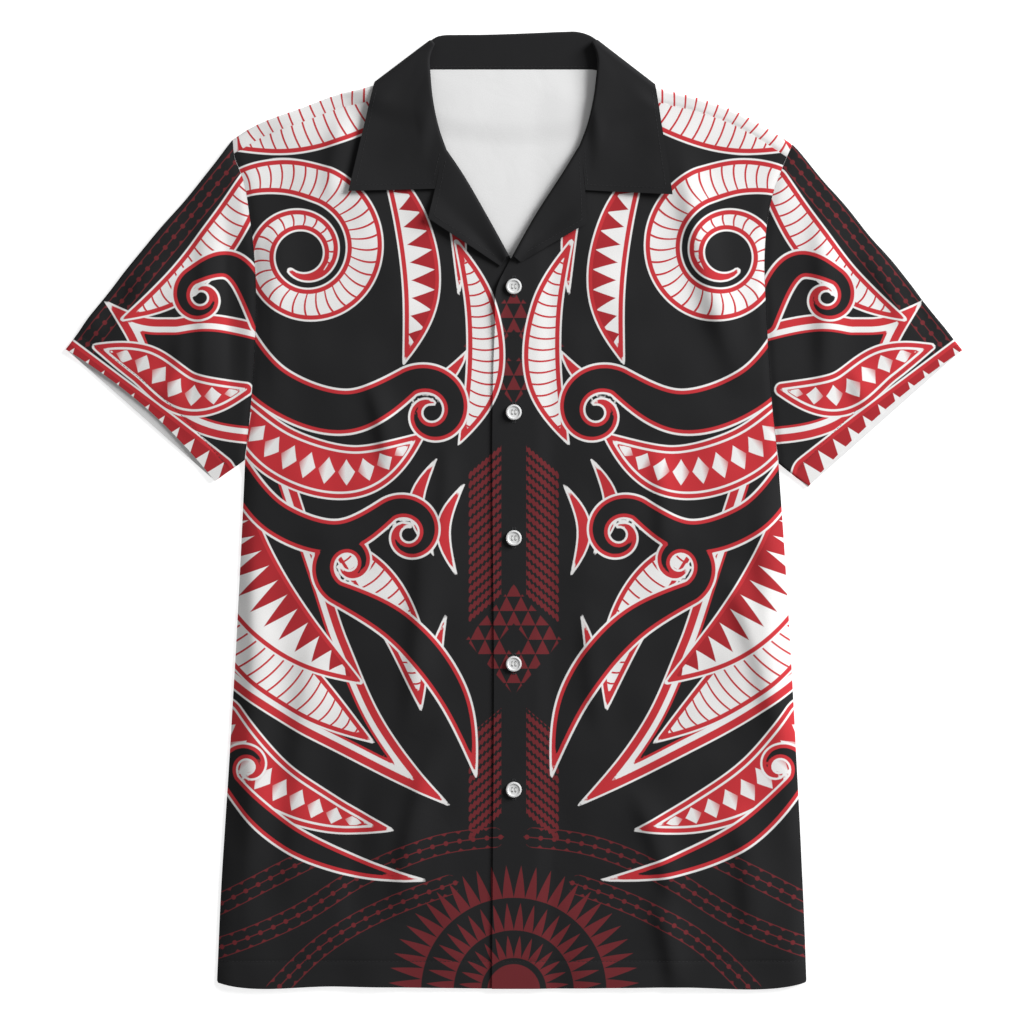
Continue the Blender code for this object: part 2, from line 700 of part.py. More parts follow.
def collar_front(side, frame, hps, hps_high, corner, corner_top):
    """Sections of the collar up the front of the neck, each flat roll opening towards the middle."""
    roll, seam = collar_rows(side)
    along, _, axis, _ = frame
    base = FRONT_LEVELS[SIDES.index(side)]
    end = axis + (COLLAR_ROLL + HALF) * along
    side_place = (roll[-1][0] + COLLAR_SIDE_EASE * side.sign, COLLAR_SIDE_Y)
    upper = through([*roll[-2:], side_place, tuple(end)])
    upper = upper[upper[:, 1] > roll[-1][1]]
    upper = spaced(np.concatenate([roll[-1:], upper]), FRONT_UPPER_STEPS)[1:]
    rolls = np.concatenate([spaced(through(roll), FRONT_LOWER_STEPS), upper])
    seams = spaced(through(seam), FRONT_LOWER_STEPS)
    seams = np.concatenate([seams, straight(seams[-1], hps, FRONT_UPPER_STEPS)[1:]])
    count = len(rolls)
    out = normals(rolls, side.sign)
    out[-1] = along
    out[-2] = unit(out[-2] + 0.35 * along)
    radii = np.linspace(LAPEL_ROLL, COLLAR_ROLL, count)
    seam_z = top_level(seams[:, 0], seams[:, 1])
    seam_z[-1] = hps_high
    centre_z = seam_z + radii
    rise = BACK_LEVEL + COLLAR_ROLL + 2.0 * COLLAR_TURN - centre_z[-1]
    centre_z[-3:] += rise * np.array([0.3, 0.7, 1.0])
    centres = rolls - out * (radii + HALF)[:, None]
    centres[-1] = axis
    outer = spaced(through([side.leaf_point, tuple(corner)]), count - 1)
    plan = coons(leaf_edge(side, centres[0]), straight(axis, corner, LEAF_STEPS), centres, outer)
    sections = []
    for i in range(count):
        top = centre_z[i] + radii[i]
        height = leaf_height(plan[i], top, base)
        if i == count - 1:
            height = np.linspace(top, corner_top, LEAF_STEPS + 1)
        leaf = np.concatenate([plan[i], height[:, None]], axis=1)
        centre = np.array([*centres[i], centre_z[i]])
        seam_point = np.array([*seams[i], seam_z[i]])
        sections.append(section(seam_point, centre, radii[i], np.array([*out[i], 0.0]), UP, leaf))
    return sections


def collar_turn(side, frame, hps, hps_low, hps_high, corner, corner_top):
    """Sections of the collar round the top of the shoulder, where it passes from front to back."""
    along, out, axis, last_facing = frame
    axis_z = BACK_LEVEL + COLLAR_ROLL + COLLAR_TURN
    leaf_top = np.linspace(axis_z + COLLAR_TURN + COLLAR_ROLL, corner_top, LEAF_STEPS + 1)
    leaf_radius = (leaf_top - BACK_LEVEL) / 2
    shoulder_out = normals(spaced(through(side.shoulder), SHOULDER_STEPS), -side.sign)[-1]
    sections = []
    for step in range(1, CORNER_STEPS):
        share = step / CORNER_STEPS
        angle = math.pi / 2 - math.pi * share
        over = np.array([*out, 0.0]) * math.cos(angle) + UP * math.sin(angle)
        facing = along + (last_facing - along) * smooth(2.0 * share - 1.0)
        facing = np.array([*facing, 0.0])
        facing = unit(facing - (facing @ over) * over)
        centre = np.array([*axis, axis_z]) + COLLAR_TURN * over
        line = straight(axis, corner, LEAF_STEPS)
        leaf = np.concatenate([line, (BACK_LEVEL + leaf_radius)[:, None]], axis=1)
        leaf += leaf_radius[:, None] * over
        seam_over = np.array([*shoulder_out, 0.0]) * math.cos(angle) + UP * math.sin(angle)
        seam_point = np.array([*hps, (hps_low + hps_high) / 2]) + (hps_high - hps_low) / 2 * seam_over
        sections.append(section(seam_point, centre, COLLAR_ROLL, facing, over, leaf))
    return sections


def collar_back(side, frame, hps, hps_low, corner):
    """Sections of the collar behind the neck, with the stand on top and the fall below."""
    axis, first_facing = frame[2], frame[3]
    first_top = axis + first_facing * (COLLAR_ROLL + HALF)
    tops = spaced(through((tuple(first_top),) + neck_top(side)), NECK_BACK_STEPS)
    seams = neck_seam(side, 0.0)
    seams[0] = hps
    facing = np.repeat([[0.0, 1.0]], NECK_BACK_STEPS + 1, axis=0)
    facing[0] = first_facing
    centres = tops - facing * (COLLAR_ROLL + HALF)
    lower_x = np.linspace(corner[0], 0.0, NECK_BACK_STEPS + 1)
    lower = np.stack([lower_x, fall_edge_y(lower_x)], axis=1)
    lower[0] = corner
    middle = straight(centres[-1], lower[-1], LEAF_STEPS)
    plan = coons(straight(axis, corner, LEAF_STEPS), middle, centres, lower)
    sections = []
    for i in range(NECK_BACK_STEPS + 1):
        centre = np.array([*centres[i], BACK_LEVEL + COLLAR_ROLL])
        leaf = np.concatenate([plan[i], np.full((LEAF_STEPS + 1, 1), BACK_LEVEL)], axis=1)
        seam_point = np.array([*seams[i], hps_low])
        out = np.array([*facing[i], 0.0])
        sections.append(section(seam_point, centre, COLLAR_ROLL, out, -UP, leaf))
    return sections


def collar_half(side):
    """Sections of the collar from its front end, over the shoulder, to the middle of the back."""
    frame = turn_frame(side)
    hps = fold_axis(side) + (-side.sign * NECK_POINT_GAP, GAP + 0.1)
    hps_low = float(back_level(*hps))
    hps_high = float(shoulder_folds(side)[-2][-1, 2])
    top = float(top_level(*(np.array(side.fall_corner) - 4.0 * frame[1]))) + LAYER + LEAF_REST
    corner = np.array(side.fall_corner) - frame[1] * ((top - BACK_LEVEL) / 2 + HALF)
    sections = collar_front(side, frame, hps, hps_high, corner, top)
    sections += collar_turn(side, frame, hps, hps_low, hps_high, corner, top)
    return sections + collar_back(side, frame, hps, hps_low, corner)


def neck_top(side):
    """The top of the collar's roll behind the neck, from a side to the middle."""
    places = [place for place in COLLAR_TOP if place.x * side.sign >= 0]
    places.sort(key=lambda place: -abs(place.x))
    return tuple(places)


def make_collar(material):
    """The collar: one folded band round the neck."""
    right, left = (collar_half(side) for side in SIDES)
    sections = right + left[-2::-1]
    points = np.concatenate(sections)
    faces = grid_faces(len(sections), len(sections[0]))
    return cloth("collar", points, faces, material)


def make_lapel(side, material):
    """The turned-out top of a front's facing, from the gorge to the foot of the V."""
    base = FRONT_LEVELS[SIDES.index(side)]
    roll = spaced(through(side.lapel_roll), LAPEL_STEPS)
    out = normals(roll, -side.sign)
    start_gap = unit(roll[1] - roll[0]) * GAP
    centres = roll - out * (LAPEL_ROLL + HALF)
    seams = roll - out * LIP
    centres[0] += start_gap
    seams[0] += start_gap
    end_edge = spaced(through([tuple(centres[0]), side.gorge, side.notch]), 2)
    end_edge[1:] += (-side.sign * GORGE_OFFSET, -GAP)
    start_line = np.concatenate([end_edge, [side.lapel_tip]])
    start_line = at_lengths(start_line, lengths(start_line)[-1] * np.linspace(0.0, 1.0, LEAF_STEPS + 1))
    end_line = straight(centres[-1], side.lapel_foot, LEAF_STEPS)
    outer = spaced(through([side.lapel_tip, side.lapel_foot]), LAPEL_STEPS)
    plan = coons(start_line, end_line, centres, outer)
    sections = []
    for i in range(LAPEL_STEPS + 1):
        low = float(base(*seams[i]))
        centre = np.array([*centres[i], low + LAPEL_ROLL])
        height = leaf_height(plan[i], low + 2 * LAPEL_ROLL, base)
        leaf = np.concatenate([plan[i], height[:, None]], axis=1)
        seam_point = np.array([*seams[i], low])
        facing = np.array([*out[i], 0.0])
        sections.append(section(seam_point, centre, LAPEL_ROLL, facing, UP, leaf))
    points = np.concatenate(sections)
    faces = grid_faces(len(sections), len(sections[0]))
    return cloth("lapel_left" if side.sign > 0 else "lapel_right", points, faces, material)


def make_button_mesh(material):
    """A four-hole button round its own axis: a rim, a dished middle and the holes cut through."""
    work = bmesh.new()
    profile = [
        work.verts.new((radius * BUTTON_RADIUS * MM, 0.0, height * BUTTON_THICKNESS * MM))
        for radius, height in BUTTON_PROFILE
    ]
    edges = [work.edges.new(pair) for pair in zip(profile[:-1], profile[1:])]
    bmesh.ops.spin(
        work, geom=profile + edges, cent=(0.0, 0.0, 0.0), axis=(0.0, 0.0, 1.0),
        angle=math.tau, steps=BUTTON_SIDES,
    )
    bmesh.ops.remove_doubles(work, verts=work.verts, dist=0.00002)
    bmesh.ops.recalc_face_normals(work, faces=work.faces)
    blank = object_from(work, "button_blank", material)
    holes = bmesh.new()
    for turn in range(4):
        angle = math.pi / 4 + turn * math.pi / 2
        place = Vector((math.cos(angle), math.sin(angle), 0.5)) * BUTTON_HOLE_OFFSET * MM
        bmesh.ops.create_cone(
            holes, cap_ends=True, segments=6, radius1=BUTTON_HOLE * MM, radius2=BUTTON_HOLE * MM,
            depth=4 * BUTTON_THICKNESS * MM, matrix=Matrix.Translation(place),
        )
    cutter = object_from(holes, "button_holes", material)
    cut = blank.modifiers.new("holes", "BOOLEAN")
    cut.object = cutter
    graph = bpy.context.evaluated_depsgraph_get()
    mesh = bpy.data.meshes.new_from_object(blank.evaluated_get(graph))
    for thing in (blank, cutter):
        bpy.data.objects.remove(thing, do_unlink=True)
    mesh.name = "button"
    mesh.shade_smooth()
    mesh.set_sharp_from_angle(angle=math.radians(40))
    return mesh


def object_from(work, name, material):
    """An object made from a bmesh, which is freed."""
    mesh = bpy.data.meshes.new(name)
    work.to_mesh(mesh)
    work.free()
    mesh.materials.append(material)
    thing = bpy.data.objects.new(name, mesh)
    bpy.context.scene.collection.objects.link(thing)
    return thing


def make_buttons(material):
    """The buttons down the placket, each just clear of the cloth that it is sewn through."""
    mesh = make_button_mesh(material)
    level = FRONT_LEVELS[1]
    for index in range(BUTTON_COUNT):
        x, y = BUTTON_TOP[0], BUTTON_TOP[1] - index * BUTTON_PITCH
        around = np.linspace(0.0, math.tau, 13)
        under = level(x + BUTTON_RADIUS * np.cos(around), y + BUTTON_RADIUS * np.sin(around))
        button = bpy.data.objects.new(f"button_{index + 1}", mesh)
        button.location = Vector((x, y, float(under.max()) + HALF + GAP)) * MM
        bpy.context.scene.collection.objects.link(button)


def main():
    """Clears the scene and makes every piece."""
    for thing in list(bpy.data.objects):
        bpy.data.objects.remove(thing, do_unlink=True)
    printed = new_material("printed_cloth", (0.045, 0.043, 0.044), 0.78)
    plain = new_material("black_cloth", (0.022, 0.022, 0.023), 0.8)
    make_back(printed)
    for side in SIDES:
        make_front(side, printed)
        make_sleeve(side, printed)
        make_lapel(side, plain)
    make_collar(plain)
    make_buttons(new_material("button_white", (0.86, 0.86, 0.85), 0.35))


main()
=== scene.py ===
"""A short-sleeved camp-collar shirt, buttoned up and laid flat on its back, dressed for display.

The shirt lies on z = 0 with its collar towards +Y and the wearer's right side at -X. Each cut
piece of cloth is a thin shell worked out from the plan lines below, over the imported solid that
it stands for. Sizes are in millimetres until a mesh is made. The print follows each piece's own
cut: every point of cloth carries its place on the flat cut and how it lies to the print's forms.
"""

import logging
import math
from dataclasses import dataclass
from enum import Enum
from typing import Callable, Optional, Sequence, Union

import bmesh
import bpy
import numpy as np
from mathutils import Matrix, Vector
from mathutils.geometry import delaunay_2d_cdt


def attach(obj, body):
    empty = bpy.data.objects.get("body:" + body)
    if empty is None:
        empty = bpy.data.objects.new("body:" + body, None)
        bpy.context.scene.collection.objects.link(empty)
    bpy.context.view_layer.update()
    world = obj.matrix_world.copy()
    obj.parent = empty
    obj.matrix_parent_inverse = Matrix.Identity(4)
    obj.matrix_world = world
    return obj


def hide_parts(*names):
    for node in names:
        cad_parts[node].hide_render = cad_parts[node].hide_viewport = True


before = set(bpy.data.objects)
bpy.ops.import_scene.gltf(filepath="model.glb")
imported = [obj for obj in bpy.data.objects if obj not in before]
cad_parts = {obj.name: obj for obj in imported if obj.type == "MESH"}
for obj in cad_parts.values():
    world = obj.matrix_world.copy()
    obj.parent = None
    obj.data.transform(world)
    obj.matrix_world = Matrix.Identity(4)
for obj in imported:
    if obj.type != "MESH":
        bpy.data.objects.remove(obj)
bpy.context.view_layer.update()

MM = 0.001
BODY = "root"
UP = np.array([0.0, 0.0, 1.0])
MIDDLE_X = 1.0
FAR_ABOVE = (0.0, 1000.0)
FAR_BELOW = (0.0, -1000.0)

# How a piece's field of points is laid: in spacings, apart from the share of an inset that a row keeps,
# and from the distance in millimetres under which two points of an outline count as one.
ROW_RISE = 0.87
EDGE_CLEAR = 0.6
CREASE_CLEAR = 0.4
INSET_KEPT = 0.93
SAME_POINT = 0.12

Line = np.ndarray
Place = tuple[float, float]
Places = tuple[Place, ...]
Level = Callable[[np.ndarray, np.ndarray], np.ndarray]
Faces = list[tuple[int, ...]]
Value = Union["Wire", float]
Colour = Union["Wire", tuple]

log = logging.getLogger("shirt")


# ---------------- lines in plan


def smooth(value: np.ndarray) -> np.ndarray:
    """A soft step from 0 to 1."""
    value = np.clip(value, 0.0, 1.0)
    return value * value * (3.0 - 2.0 * value)


def ramps(values: Sequence[np.ndarray], steps: Sequence[Place]) -> np.ndarray:
    """The product of soft steps, each falling where its width is below 0.

    Args:
        values: what each step is taken of.
        steps: for each, the value where it starts and how wide it is.

    Returns:
        1 where every step is up, and 0 where one is down.
    """
    share = 1.0
    for value, (start, width) in zip(values, steps):
        share = share * smooth((value - start) / width)
    return share


def unit(vector: Sequence[float]) -> np.ndarray:
    """The vector at length 1."""
    vector = np.asarray(vector, float)
    return vector / np.linalg.norm(vector)


def units(vectors: np.ndarray) -> np.ndarray:
    """Each row at length 1."""
    return vectors / np.linalg.norm(vectors, axis=-1)[..., None]


def lengths(points: Line) -> np.ndarray:
    """The distance along a line of points at each of them."""
    steps = np.linalg.norm(np.diff(points, axis=0), axis=1)
    return np.concatenate([[0.0], np.cumsum(steps)])


def through(places: Sequence[Place], per_span: int = 24) -> Line:
    """A dense smooth curve through places that may be unevenly spaced.

    Args:
        places: the points in plan that the curve passes.
        per_span: how many points it has between two of them.

    Returns:
        The curve as rows of x and y.
    """
    knots = np.array(places, float)
    if len(knots) == 2:
        return straight(knots[0], knots[1], per_span)
    span = np.linalg.norm(np.diff(knots, axis=0), axis=1)[:, None]
    slope = np.diff(knots, axis=0) / span
    inner = (slope[:-1] * span[1:] + slope[1:] * span[:-1]) / (span[:-1] + span[1:])
    first = 1.5 * slope[:1] - 0.5 * inner[:1]
    last = 1.5 * slope[-1:] - 0.5 * inner[-1:]
    tangent = np.concatenate([first, inner, last])
    t = np.linspace(0.0, 1.0, per_span, endpoint=False)[:, None]
    curve = [
        (2 * t**3 - 3 * t**2 + 1) * knots[i]
        + (t**3 - 2 * t**2 + t) * span[i] * tangent[i]
        + (3 * t**2 - 2 * t**3) * knots[i + 1]
        + (t**3 - t**2) * span[i] * tangent[i + 1]
        for i in range(len(span))
    ]
    return np.concatenate(curve + [knots[-1:]])


def at_lengths(curve: Line, where: np.ndarray) -> Line:
    """Points at the given distances along a dense curve."""
    along = lengths(curve)
    return np.stack([np.interp(where, along, curve[:, k]) for k in range(curve.shape[1])], axis=1)


def in_steps(curve: Line, steps: int) -> Line:
    """Evenly spaced points along a dense curve."""
    return at_lengths(curve, np.linspace(0.0, lengths(curve)[-1], steps + 1))


def every(curve: Line, spacing: float) -> Line:
    """Points along a dense curve, about a spacing apart."""
    return in_steps(curve, max(1, round(float(lengths(curve)[-1]) / spacing)))


def straight(start: Sequence[float], end: Sequence[float], steps: int) -> Line:
    """Evenly spaced points on a straight line."""
    start, end = np.asarray(start, float), np.asarray(end, float)
    return start + np.linspace(0.0, 1.0, steps + 1)[:, None] * (end - start)


def normals(points: Line, side: float) -> Line:
    """Unit normals of a line in plan, turned to the given side: 1 is left of its direction."""
    tangent = units(np.gradient(points, axis=0))
    return side * np.stack([-tangent[:, 1], tangent[:, 0]], axis=1)


def coons(start: Line, end: Line, first: Line, last: Line) -> np.ndarray:
    """A patch between four lines that meet at their ends.

    Args:
        start: the line across the patch where it begins.
        end: the line across it where it ends, with as many points.
        first: the line along it on one side.
        last: the line along it on the other, with as many points.

    Returns:
        Rows of points in plan, one row for each point of first.
    """
    u = np.linspace(0.0, 1.0, len(first))[:, None, None]
    v = (lengths(start) / lengths(start)[-1])[None, :, None]
    ruled = (1 - u) * start[None] + u * end[None] + (1 - v) * first[:, None] + v * last[:, None]
    corners = (1 - u) * ((1 - v) * start[0] + v * start[-1]) + u * ((1 - v) * end[0] + v * end[-1])
    return ruled - corners


def curve_distance(x: np.ndarray, y: np.ndarray, curve: Line) -> np.ndarray:
    """How far points are from a line of straight stretches.

    Args:
        x: places across the shirt.
        y: places along it.
        curve: the line.

    Returns:
        The distance of each point.
    """
    found = np.full(np.shape(x), 1e9)
    for start, end in zip(curve[:-1], curve[1:]):
        along = end - start
        t = ((x - start[0]) * along[0] + (y - start[1]) * along[1]) / max(along @ along, 1e-9)
        t = np.clip(t, 0.0, 1.0)
        found = np.minimum(found, np.hypot(x - start[0] - t * along[0], y - start[1] - t * along[1]))
    return found


def inside_outline(points: Line, outline: Line) -> np.ndarray:
    """Which points lie inside a closed outline.

    Args:
        points: places in plan.
        outline: its corners in order.

    Returns:
        True for each point inside.
    """
    x, y = points[:, 0], points[:, 1]
    inside = np.zeros(len(points), bool)
    for a, b in zip(outline, np.roll(outline, -1, axis=0)):
        crosses = (a[1] > y) != (b[1] > y)
        if crosses.any():
            inside ^= crosses & (x < a[0] + (y - a[1]) * (b[0] - a[0]) / (b[1] - a[1] + 1e-12))
    return inside


def joined(chains: Sequence[Line], spacing: float) -> Line:
    """A closed outline from lines that follow each other, with the corners between them kept.

    Args:
        chains: the lines.
        spacing: the distance between the outline's points.

    Returns:
        The outline's points, none of them double.
    """
    points = [point for chain in chains for point in every(np.asarray(chain, float), spacing)]
    kept = [points[0]]
    for point in points[1:]:
        if np.hypot(*(point - kept[-1])) > SAME_POINT:
            kept.append(point)
    if np.hypot(*(kept[-1] - kept[0])) < SAME_POINT:
        kept.pop()
    return np.array(kept)


# ---------------- the shirt's lines


@dataclass(frozen=True)
class Side:
    """Plan lines of one side of the shirt, as the cut pieces share them."""

    name: str
    sign: int
    shoulder: Places
    armhole: Places
    body: Places
    hem: Places
    sleeve_top: Places
    cuff_upper: Place
    cuff_lower: Place
    cuff_bow: float
    roll: Places
    seam: Places
    collar_corner: Place
    leaf_point: Place
    notch: Place
    gorge: Place
    fall_corner: Place
    lapel_roll: Places
    lapel_tip: Place
    lapel_foot: Place


WEARER_RIGHT = Side(
    name="right",
    sign=-1,
    shoulder=(
        (-223.6, 295.6), (-211.6, 303.6), (-166.8, 321.6), (-138.0, 332.2), (-117.2, 336.8),
        (-100.0, 342.6), (-82.0, 352.2),
    ),
    armhole=(
        (-223.6, 295.6), (-222.4, 283.0), (-214.8, 262.8), (-210.0, 234.8),
        (-205.4, 189.2), (-206.8, 112.4), (-213.6, 39.6),
    ),
    body=((-213.6, 39.6), (-218.0, -56.4), (-225.2, -184.4), (-233.2, -312.4), (-236.0, -376.4)),
    hem=((-235.2, -378.2), (-229.6, -379.6), (-141.2, -381.0), (-16.4, -382.8)),
    sleeve_top=((-223.6, 295.6), (-235.6, 279.6), (-296.0, 206.6), (-357.2, 128.4)),
    cuff_upper=(-357.2, 128.4),
    cuff_lower=(-237.6, 22.8),
    cuff_bow=7.3,
    roll=((-52.4, 286.8), (-58.8, 305.2), (-63.2, 326.0), (-65.4, 348.0)),
    seam=((-56.4, 284.8), (-64.6, 303.4), (-71.2, 323.6), (-77.6, 342.6)),
    collar_corner=(-66.0, 374.8),
    leaf_point=(-130.8, 254.0),
    notch=(-62.0, 255.8),
    gorge=(-58.6, 271.0),
    fall_corner=(-110.0, 341.6),
    lapel_roll=((-52.4, 286.8), (-40.4, 269.2), (-21.2, 236.4), (-3.2, 203.8)),
    lapel_tip=(-67.6, 232.4),
    lapel_foot=(-9.6, 194.4),
)
WEARER_LEFT = Side(
    name="left",
    sign=1,
    shoulder=(
        (223.6, 291.6), (205.2, 303.6), (182.8, 316.2), (150.0, 328.4), (117.2, 336.4),
        (100.0, 342.2), (83.0, 351.0),
    ),
    armhole=(
        (223.6, 291.6), (214.4, 270.0), (206.8, 247.6), (203.4, 228.0),
        (201.4, 202.8), (202.8, 157.2), (206.0, 101.2), (212.4, 36.8),
    ),
    body=((212.4, 36.8), (218.8, -56.4), (226.0, -184.4), (232.4, -312.4), (234.8, -376.4)),
    hem=((16.0, -382.8), (130.0, -381.6), (228.6, -379.4), (234.0, -378.0)),
    sleeve_top=((223.6, 291.6), (234.0, 279.6), (294.6, 207.6), (359.6, 127.6)),
    cuff_upper=(359.6, 127.6),
    cuff_lower=(235.9, 18.0),
    cuff_bow=5.3,
    roll=((53.2, 290.4), (59.4, 306.6), (64.2, 326.6), (66.8, 346.2)),
    seam=((57.3, 288.5), (65.4, 304.8), (72.2, 324.2), (78.8, 341.4)),
    collar_corner=(67.6, 375.2),
    leaf_point=(127.6, 251.2),
    notch=(58.2, 254.8),
    gorge=(56.4, 272.4),
    fall_corner=(113.8, 339.8),
    lapel_roll=((53.2, 290.4), (41.2, 270.8), (18.0, 234.8), (0.4, 203.4)),
    lapel_tip=(59.4, 228.5),
    lapel_foot=(6.4, 197.4),
)
SIDES = (WEARER_RIGHT, WEARER_LEFT)


@dataclass(frozen=True)
class Fold:
    """A soft fold of the cloth, from start to end: a ridge, or a trough where its height is below 0."""

    start: Place
    end: Place
    height: float
    width: float
    bow: float = 0.0
    flanks: Place = (0.9, 1.35)
    fade: float = 0.35
    crest: float = 1.6

    def lift(self, x: np.ndarray, y: np.ndarray) -> np.ndarray:
        """What the fold adds to the cloth's height at each point.

        Args:
            x: places across the shirt.
            y: places along it.

        Returns:
            Heights, fading out towards the fold's ends and steeper on one flank.
        """
        start = np.array(self.start)
        along = np.array(self.end) - start
        length = np.hypot(*along)
        along = along / length
        t = ((x - start[0]) * along[0] + (y - start[1]) * along[1]) / length
        off = (y - start[1]) * along[0] - (x - start[0]) * along[1]
        off = off - self.bow * 4.0 * t * (1.0 - t)
        width = self.width * np.where(off < 0, *self.flanks)
        fade = smooth(t / self.fade) * smooth((1.0 - t) / self.fade)
        return self.height * fade * np.exp(-self.crest * (off / width) ** 2)


@dataclass(frozen=True)
class ShirtForm:
    """The heights of the shirt's layers over the table, and the sizes that its pieces share."""

    layer: float = 1.5
    half: float = 0.45
    gap: float = 0.3
    back_mid: float = 0.6
    loft: float = 1.0
    puff: float = 1.3
    puff_from: float = 20.0
    puff_to: float = 62.0
    neck_loft: float = 1.0
    shoulder_seam: float = 11.0
    side_roll: float = 15.0
    side_edge: float = 1.45
    seam_dip: float = 0.9
    seam_dip_width: float = 3.4
    lip: float = 4.5
    leaf_rest: float = 0.4
    hem_y: float = -382.8
    lap_end: float = 16.0
    lap_ramp: float = 16.0
    fall_centre_y: float = 313.0
    fall_below_edge: float = 3.0
    fall_ramp: float = 20.0
    fall_side_ease: float = 12.0
    fall_ease_from: float = 70.0
    fall_ease_over: float = 30.0
    fall_curve: float = 2.2
    neck_seam_y: float = 351.9
    neck_seam_places: tuple[float, ...] = (64.0, 48.0, 32.0, 16.0, 0.0)
    underarm_start: float = 6.0
    underarm_over: float = 20.0
    roll_curve: float = 2.6
    lap_margin: float = 2.0
    lap_top_y: float = 226.0
    lap_top_over: float = 20.0
    lap_rise: float = 1.6
    free_edge: tuple[Place, ...] = ((-6.4, -8.0), (128.0, 30.0), (204.0, -14.0))
    hem_margin: float = 1.0
    hem_depth: float = 21.0
    hem_dip_width: float = 1.1
    cuff_depth: float = 15.0
    stitch_dip: float = 0.3
    neck_rise: float = 1.1
    neck_ramps: tuple[Place, ...] = ((16.0, 34.0), (78.0, -16.0), (206.0, 50.0), (348.0, -24.0))
    least: float = 1.4
    floor_ease: float = 0.3
    cuff_level: float = 3.1
    cuff_press: float = 0.88
    cuff_press_from: float = 34.0
    cuff_press_over: float = 26.0
    ripples: tuple[tuple[float, ...], ...] = (
        (0.36, 0.071, 0.043, 0.4), (0.30, -0.052, 0.083, 2.1), (0.25, 0.117, -0.061, 4.4),
        (0.18, 0.021, 0.137, 1.2), (0.14, -0.149, -0.052, 3.0),
    )
    folds: tuple[Fold, ...] = (
        Fold((-206, 10), (-215, -376), 4.6, 14, 4),
        Fold((-150, -64), (-172, -330), 3.0, 16, -8),
        Fold((-74, 4), (-88, -196), 3.6, 13, 7),
        Fold((-56, -180), (-90, -330), 3.8, 13, -7),
        Fold((-118, 112), (-98, 22), 2.9, 10, 4),
        Fold((-112, -190), (-128, -360), -1.8, 12, -5),
        Fold((-186, 252), (-188, 74), 2.2, 12, -3),
        Fold((-132, 320), (-146, 236), 2.4, 11, -3),
        Fold((134, 316), (190, 84), 4.0, 14, -10),
        Fold((112, 60), (120, -50), 2.6, 11, 4),
        Fold((164, -34), (216, -206), 4.4, 14, 8),
        Fold((92, -214), (130, -330), 3.7, 13, 6),
        Fold((112, -300), (132, -396), 3.0, 11, 3),
        Fold((200, 30), (212, -150), 2.4, 12, -4),
        Fold((176, -230), (190, -366), 2.4, 13, 5),
        Fold((60, -60), (74, -190), 2.1, 12, -4),
        Fold((-52, 60), (-62, -40), 1.8, 10, 4),
        Fold((-232, 268), (-226, 58), -2.4, 10, 4),
        Fold((-248, 250), (-250, 60), 2.4, 11, 4),
        Fold((-272, 206), (-322, 128), 2.6, 12, -5),
        Fold((-262, 150), (-280, 74), 2.4, 11, 4),
        Fold((-304, 184), (-332, 140), -1.2, 10, 3),
        Fold((242, 262), (247, 62), 3.2, 13, 5),
        Fold((276, 216), (318, 132), 2.5, 12, 5),
        Fold((270, 120), (296, 66), 2.3, 10, -4),
        Fold((312, 176), (338, 130), -1.1, 10, 3),
    )

    def armhole(self, side: Side) -> Line:
        """The armhole's dense curve, from the shoulder's fold down to the underarm."""
        return through(side.armhole)

    def fold_inset(self) -> float:
        """How far a layer's edge stays inside a fold that turns it under."""
        return self.layer / 2 + self.loft / 2 + self.back_mid

    def fall_edge_y(self, x: np.ndarray) -> np.ndarray:
        """The lower edge of the collar's fall, which lies under the back panel.

        Args:
            x: places across the shirt.

        Returns:
            The edge's place along the shirt at each.
        """
        x = np.asarray(x, float)
        corner_x = np.where(x < 0, WEARER_RIGHT.fall_corner[0], WEARER_LEFT.fall_corner[0])
        corner_y = np.where(x < 0, WEARER_RIGHT.fall_corner[1], WEARER_LEFT.fall_corner[1])
        share = np.abs(x / corner_x) ** self.fall_curve
        return self.fall_centre_y + (corner_y - self.fall_centre_y) * share

    def over_fall(self, x: np.ndarray, y: np.ndarray) -> np.ndarray:
        """Where the collar's fall lies below the shirt.

        Args:
            x: places across the shirt.
            y: places along it.

        Returns:
            1 over the fall, and 0 away from it.
        """
        ease = smooth((np.abs(x) - self.fall_ease_from) / self.fall_ease_over)
        x = x - np.sign(x) * self.fall_side_ease * ease
        below = self.fall_edge_y(x) - y - self.fall_below_edge
        return 1.0 - smooth(below / self.fall_ramp)

    def back_level(self, x: np.ndarray, y: np.ndarray) -> np.ndarray:
        """Height of the middle of the back panel's cloth."""
        rise = self.neck_rise * ramps((x, x, y, y), self.neck_ramps)
        return self.back_mid + rise + self.layer * self.over_fall(x, y)

    def ripple(self, x: np.ndarray, y: np.ndarray) -> np.ndarray:
        """The small unevenness that washed cloth keeps when it is laid flat."""
        return sum(height * np.sin(a * x + b * y + turn) for height, a, b, turn in self.ripples)

    def top_level(self, x: np.ndarray, y: np.ndarray) -> np.ndarray:
        """The middle of the top layer: fronts, sleeve fronts and the shoulder strips.

        Args:
            x: places across the shirt.
            y: places along it.

        Returns:
            Its height at each place, never down in the back panel.
        """
        x, y = np.asarray(x, float), np.asarray(y, float)
        away = smooth((np.abs(x - MIDDLE_X) - self.puff_from) / (self.puff_to - self.puff_from))
        lift = sum(fold.lift(x, y) for fold in self.folds) + self.ripple(x, y)
        level = self.back_mid + self.layer + self.loft + away * (self.puff + lift)
        level = level + (self.layer + self.neck_loft) * self.over_fall(x, y)
        for side in SIDES:
            near = curve_distance(x, y, self.armhole(side)[::6])
            level = level - self.seam_dip * np.exp(-((near / self.seam_dip_width) ** 2))
        low = self.back_mid + self.least
        spare = level - low
        return low + (spare + np.sqrt(spare**2 + self.floor_ease)) / 2

